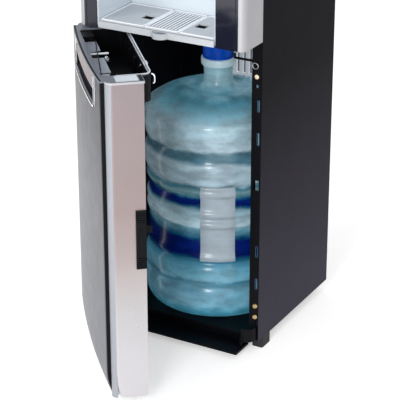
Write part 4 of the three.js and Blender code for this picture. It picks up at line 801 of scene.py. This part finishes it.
def scoop_lining():
    """The lining of the grip recess, which sweeps back from the ring's foot and up to the shelf."""
    foot = DOOR_TOP - 53.4
    sweep = eased([(-77.0, foot + 0.6), (-73, foot + 0.4), (-66, foot + 2.4), (-61, foot + 8),
                   (-58.9, foot + 17), (-58.7, DOOR_TOP - 30), (-58.7, DOOR_TOP - 19)])
    line = sweep + [(y + 0.5, z - 0.5) for y, z in reversed(sweep)]
    on_door("scoop_lining", prism(line, 208, FROM_SIDE, (-104, 0, 0)), scoop_dark)


def door_seal():
    """A soft seal round the door's inner face."""
    line = [(x, -3.0, z) for x, z in rounded(-138, 138, 54, DOOR_TOP - 58, 14, 6)]
    on_door("door_seal", tube(line, 1.9, 10, closed=True), rubber)


def latch_slider():
    """The slider on the latch box, with two raised arrowheads."""
    low = box_mm("latch_box")[0][2]
    y = -13.3
    forms = [prism(rounded(-16.6, -10, low + 33, low + 71, 2), 0.9, FROM_SIDE, (LATCH_FACE, 0, 0))]
    for z, way in ((low + 58, 1), (low + 46, -1)):
        arrow = [(y - 4, z), (y + 4, z), (y, z + 6 * way)]
        forms.append(prism(arrow, 0.5, FROM_SIDE, (LATCH_FACE + 0.7, 0, 0)))
    on_door("latch_slider", gather(forms), black_moulded)


def dress_door():
    """Every piece on the door."""
    pocket_shelf()
    pocket_depths()
    pocket_rim()
    door_edges()
    door_end()
    scoop_lining()
    door_seal()
    latch_slider()


# ---------------------------------------------------------------- controls
BUTTON_X = 50
LENS_RISE = 34


def dress_controls():
    """A bright bezel round each button and three lenses over them."""
    low, high = box_mm("button_cold")
    button_z = (low[2] + high[2]) / 2
    bezel = [(17.8, 0.4), (17.8, -1.0), (18.6, -1.8), (20.4, -1.8), (21.2, -0.8), (21.2, 0.4), (17.8, 0.4)]
    bezels = [turned(bezel, 48, (x, FASCIA_FRONT, button_z), upright=False) for x in (-BUTTON_X, BUTTON_X)]
    piece("button_bezels", gather(bezels), chrome)
    lens = [(0, 0.2), (3.0, 0.2), (3.0, -0.5), (2.2, -1.2), (0, -1.6)]
    lens_z = button_z + LENS_RISE
    lenses = [turned(lens, 24, (x, FASCIA_FRONT, lens_z), upright=False) for x in (-BUTTON_X, 0, BUTTON_X)]
    piece("indicator_lenses", gather(lenses), lamp_lens)


# ---------------------------------------------------------------- back of the cabinet
COIL_Y = REAR_Y + 10
COIL_REACH = 120
COIL_BEND = 14
COIL_RUNS = 9
COIL_WIRES = 27


def rear_screws():
    """Screws round the rear panel's edge."""
    head = [(0, 1.9), (1.2, 1.9), (1.5, 1.2), (3.2, 1.5), (4.1, 0.7), (4.2, 0.0), (0, 0.0)]
    places = [(x, z) for x in (-150, 150) for z in (40, 240, 440, 640, 840, 1030)] + [(0, 30), (0, 1030)]
    screws = [turned(head, 16, (x, REAR_Y, z), upright=False) for x, z in places]
    piece("rear_screws", gather(screws), zinc)


def coil_route(low, high):
    """The condenser's tube: level runs one over the other, joined by a bend at alternate ends."""
    step = (high - low) / (COIL_RUNS - 1)
    straight = COIL_REACH - COIL_BEND
    turns = range(15, 90, 15)
    route = []
    for i in range(COIL_RUNS):
        z = low + i * step
        way = 1 if i % 2 == 0 else -1
        route.append((-way * (COIL_REACH if i == 0 else straight), COIL_Y, z))
        if i == COIL_RUNS - 1:
            route.append((way * COIL_REACH, COIL_Y, z))
            break
        route.append((way * straight, COIL_Y, z))
        leaving = arc(straight, z + COIL_BEND, COIL_BEND, [turn - 90 for turn in turns])
        arriving = arc(straight, z + step - COIL_BEND, COIL_BEND, turns)
        uprights = [(COIL_REACH, z + COIL_BEND), (COIL_REACH, z + step - COIL_BEND)]
        route += [(way * x, COIL_Y, height) for x, height in leaving + uprights + arriving]
    return route


def condenser_coil():
    """The coil in place of its plain solid, with wires before and behind the tube and four brackets."""
    box = box_mm("condenser")
    low = box[0][2] + 12
    high = box[1][2] - 12
    forms = [tube(coil_route(low, high), 2.2, 10)]
    for k in range(COIL_WIRES):
        x = -104 + 8 * k
        for y in (COIL_Y - 2.0, COIL_Y + 1.9):
            forms.append(tube([(x, y, low - 12), (x, y, high + 12)], 0.55, 6))
    bracket = [(0, -5), (12, -5), (12, -3), (2, -3), (2, 5), (0, 5)]
    for x in (-100, 100):
        for z in (low + 18, high - 18):
            forms.append(prism(bracket, 10, FROM_SIDE, (x - 5, REAR_Y + 0.2, z)))
    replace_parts(piece("condenser_coil", gather(forms), coil_black), "condenser")


# ---------------------------------------------------------------- floor, background and light
FLOOR_HALF = 9
FLOOR_GLOW = 0.45
WORLD_LIGHT = 0.62


def seen_by_eye(tree):
    """1 for rays from the camera, or for what metal and glass show."""
    rays = tree.nodes.new("ShaderNodeLightPath")
    seen = rays.outputs["Is Camera Ray"]
    for kind in ("Is Glossy Ray", "Is Transmission Ray"):
        either = tree.nodes.new("ShaderNodeMath")
        either.operation = "MAXIMUM"
        tree.links.new(seen, either.inputs[0])
        tree.links.new(rays.outputs[kind], either.inputs[1])
        seen = either.outputs[0]
    return seen


def chosen_by_eye(tree, unseen, seen):
    """One shader for rays that light the scene, another for those that are seen."""
    choose = tree.nodes.new("ShaderNodeMixShader")
    tree.links.new(seen_by_eye(tree), choose.inputs["Fac"])
    tree.links.new(unseen, choose.inputs[1])
    tree.links.new(seen, choose.inputs[2])
    return choose.outputs["Shader"]


def floor_material():
    """White that keeps the shadow, with a glow so that it shows as white as the background."""
    mat = bpy.data.materials.new("floor_white")
    mat.use_nodes = True
    tree = mat.node_tree
    plain = tree.nodes["Principled BSDF"]
    plain.inputs["Base Color"].default_value = (0.9, 0.9, 0.9, 1)
    plain.inputs["Roughness"].default_value = 0.9
    glow = tree.nodes.new("ShaderNodeEmission")
    glow.inputs["Strength"].default_value = FLOOR_GLOW
    total = tree.nodes.new("ShaderNodeAddShader")
    tree.links.new(plain.outputs["BSDF"], total.inputs[0])
    tree.links.new(glow.outputs["Emission"], total.inputs[1])
    surface = chosen_by_eye(tree, plain.outputs["BSDF"], total.outputs["Shader"])
    tree.links.new(surface, tree.nodes["Material Output"].inputs["Surface"])
    return mat


def lay_floor():
    """The floor under the feet."""
    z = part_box("foot_front_right")[0][2]
    half = FLOOR_HALF
    mesh = bpy.data.meshes.new("floor")
    corners = [(-half, -half, z), (half, -half, z), (half, half, z), (-half, half, z)]
    mesh.from_pydata(corners, [], [(0, 1, 2, 3)])
    mesh.materials.append(floor_material())
    link(bpy.data.objects.new("floor", mesh))


def light_world():
    """A white surround that lights less than it shows."""
    world = bpy.data.worlds.new("world")
    world.use_nodes = True
    bpy.context.scene.world = world
    tree = world.node_tree
    plain = tree.nodes["Background"]
    white = tree.nodes.new("ShaderNodeBackground")
    for background, strength in ((plain, WORLD_LIGHT), (white, 1)):
        background.inputs["Color"].default_value = (1, 1, 1, 1)
        background.inputs["Strength"].default_value = strength
    surface = chosen_by_eye(tree, plain.outputs["Background"], white.outputs["Background"])
    tree.links.new(surface, tree.nodes["World Output"].inputs["Surface"])


def lamp(name, at, aim, size, power):
    """A rectangular lamp turned towards a point."""
    data = bpy.data.lights.new(name, "AREA")
    data.shape = "RECTANGLE"
    data.size, data.size_y = size
    data.energy = power
    obj = link(bpy.data.objects.new(name, data))
    obj.location = at
    obj.rotation_euler = (Vector(aim) - Vector(at)).to_track_quat("-Z", "Y").to_euler()


place_camera()
dress_nodes()
make_bottle()
dress_jambs()
dress_tray()
dress_door()
dress_controls()
rear_screws()
condenser_coil()
lay_floor()
light_world()
lamp("key", (-1.6, -2.2, 2.2), (0, 0, 0.5), (1.2, 1.6), 32)
lamp("fill", (2.4, -1.2, 1.6), (0, 0, 0.4), (1.6, 1.6), 10)
lamp("front", (0.45, -2.1, 0.8), (0, 0.1, 0.32), (0.6, 0.9), 26)

bpy.context.scene.view_settings.view_transform = "Standard"
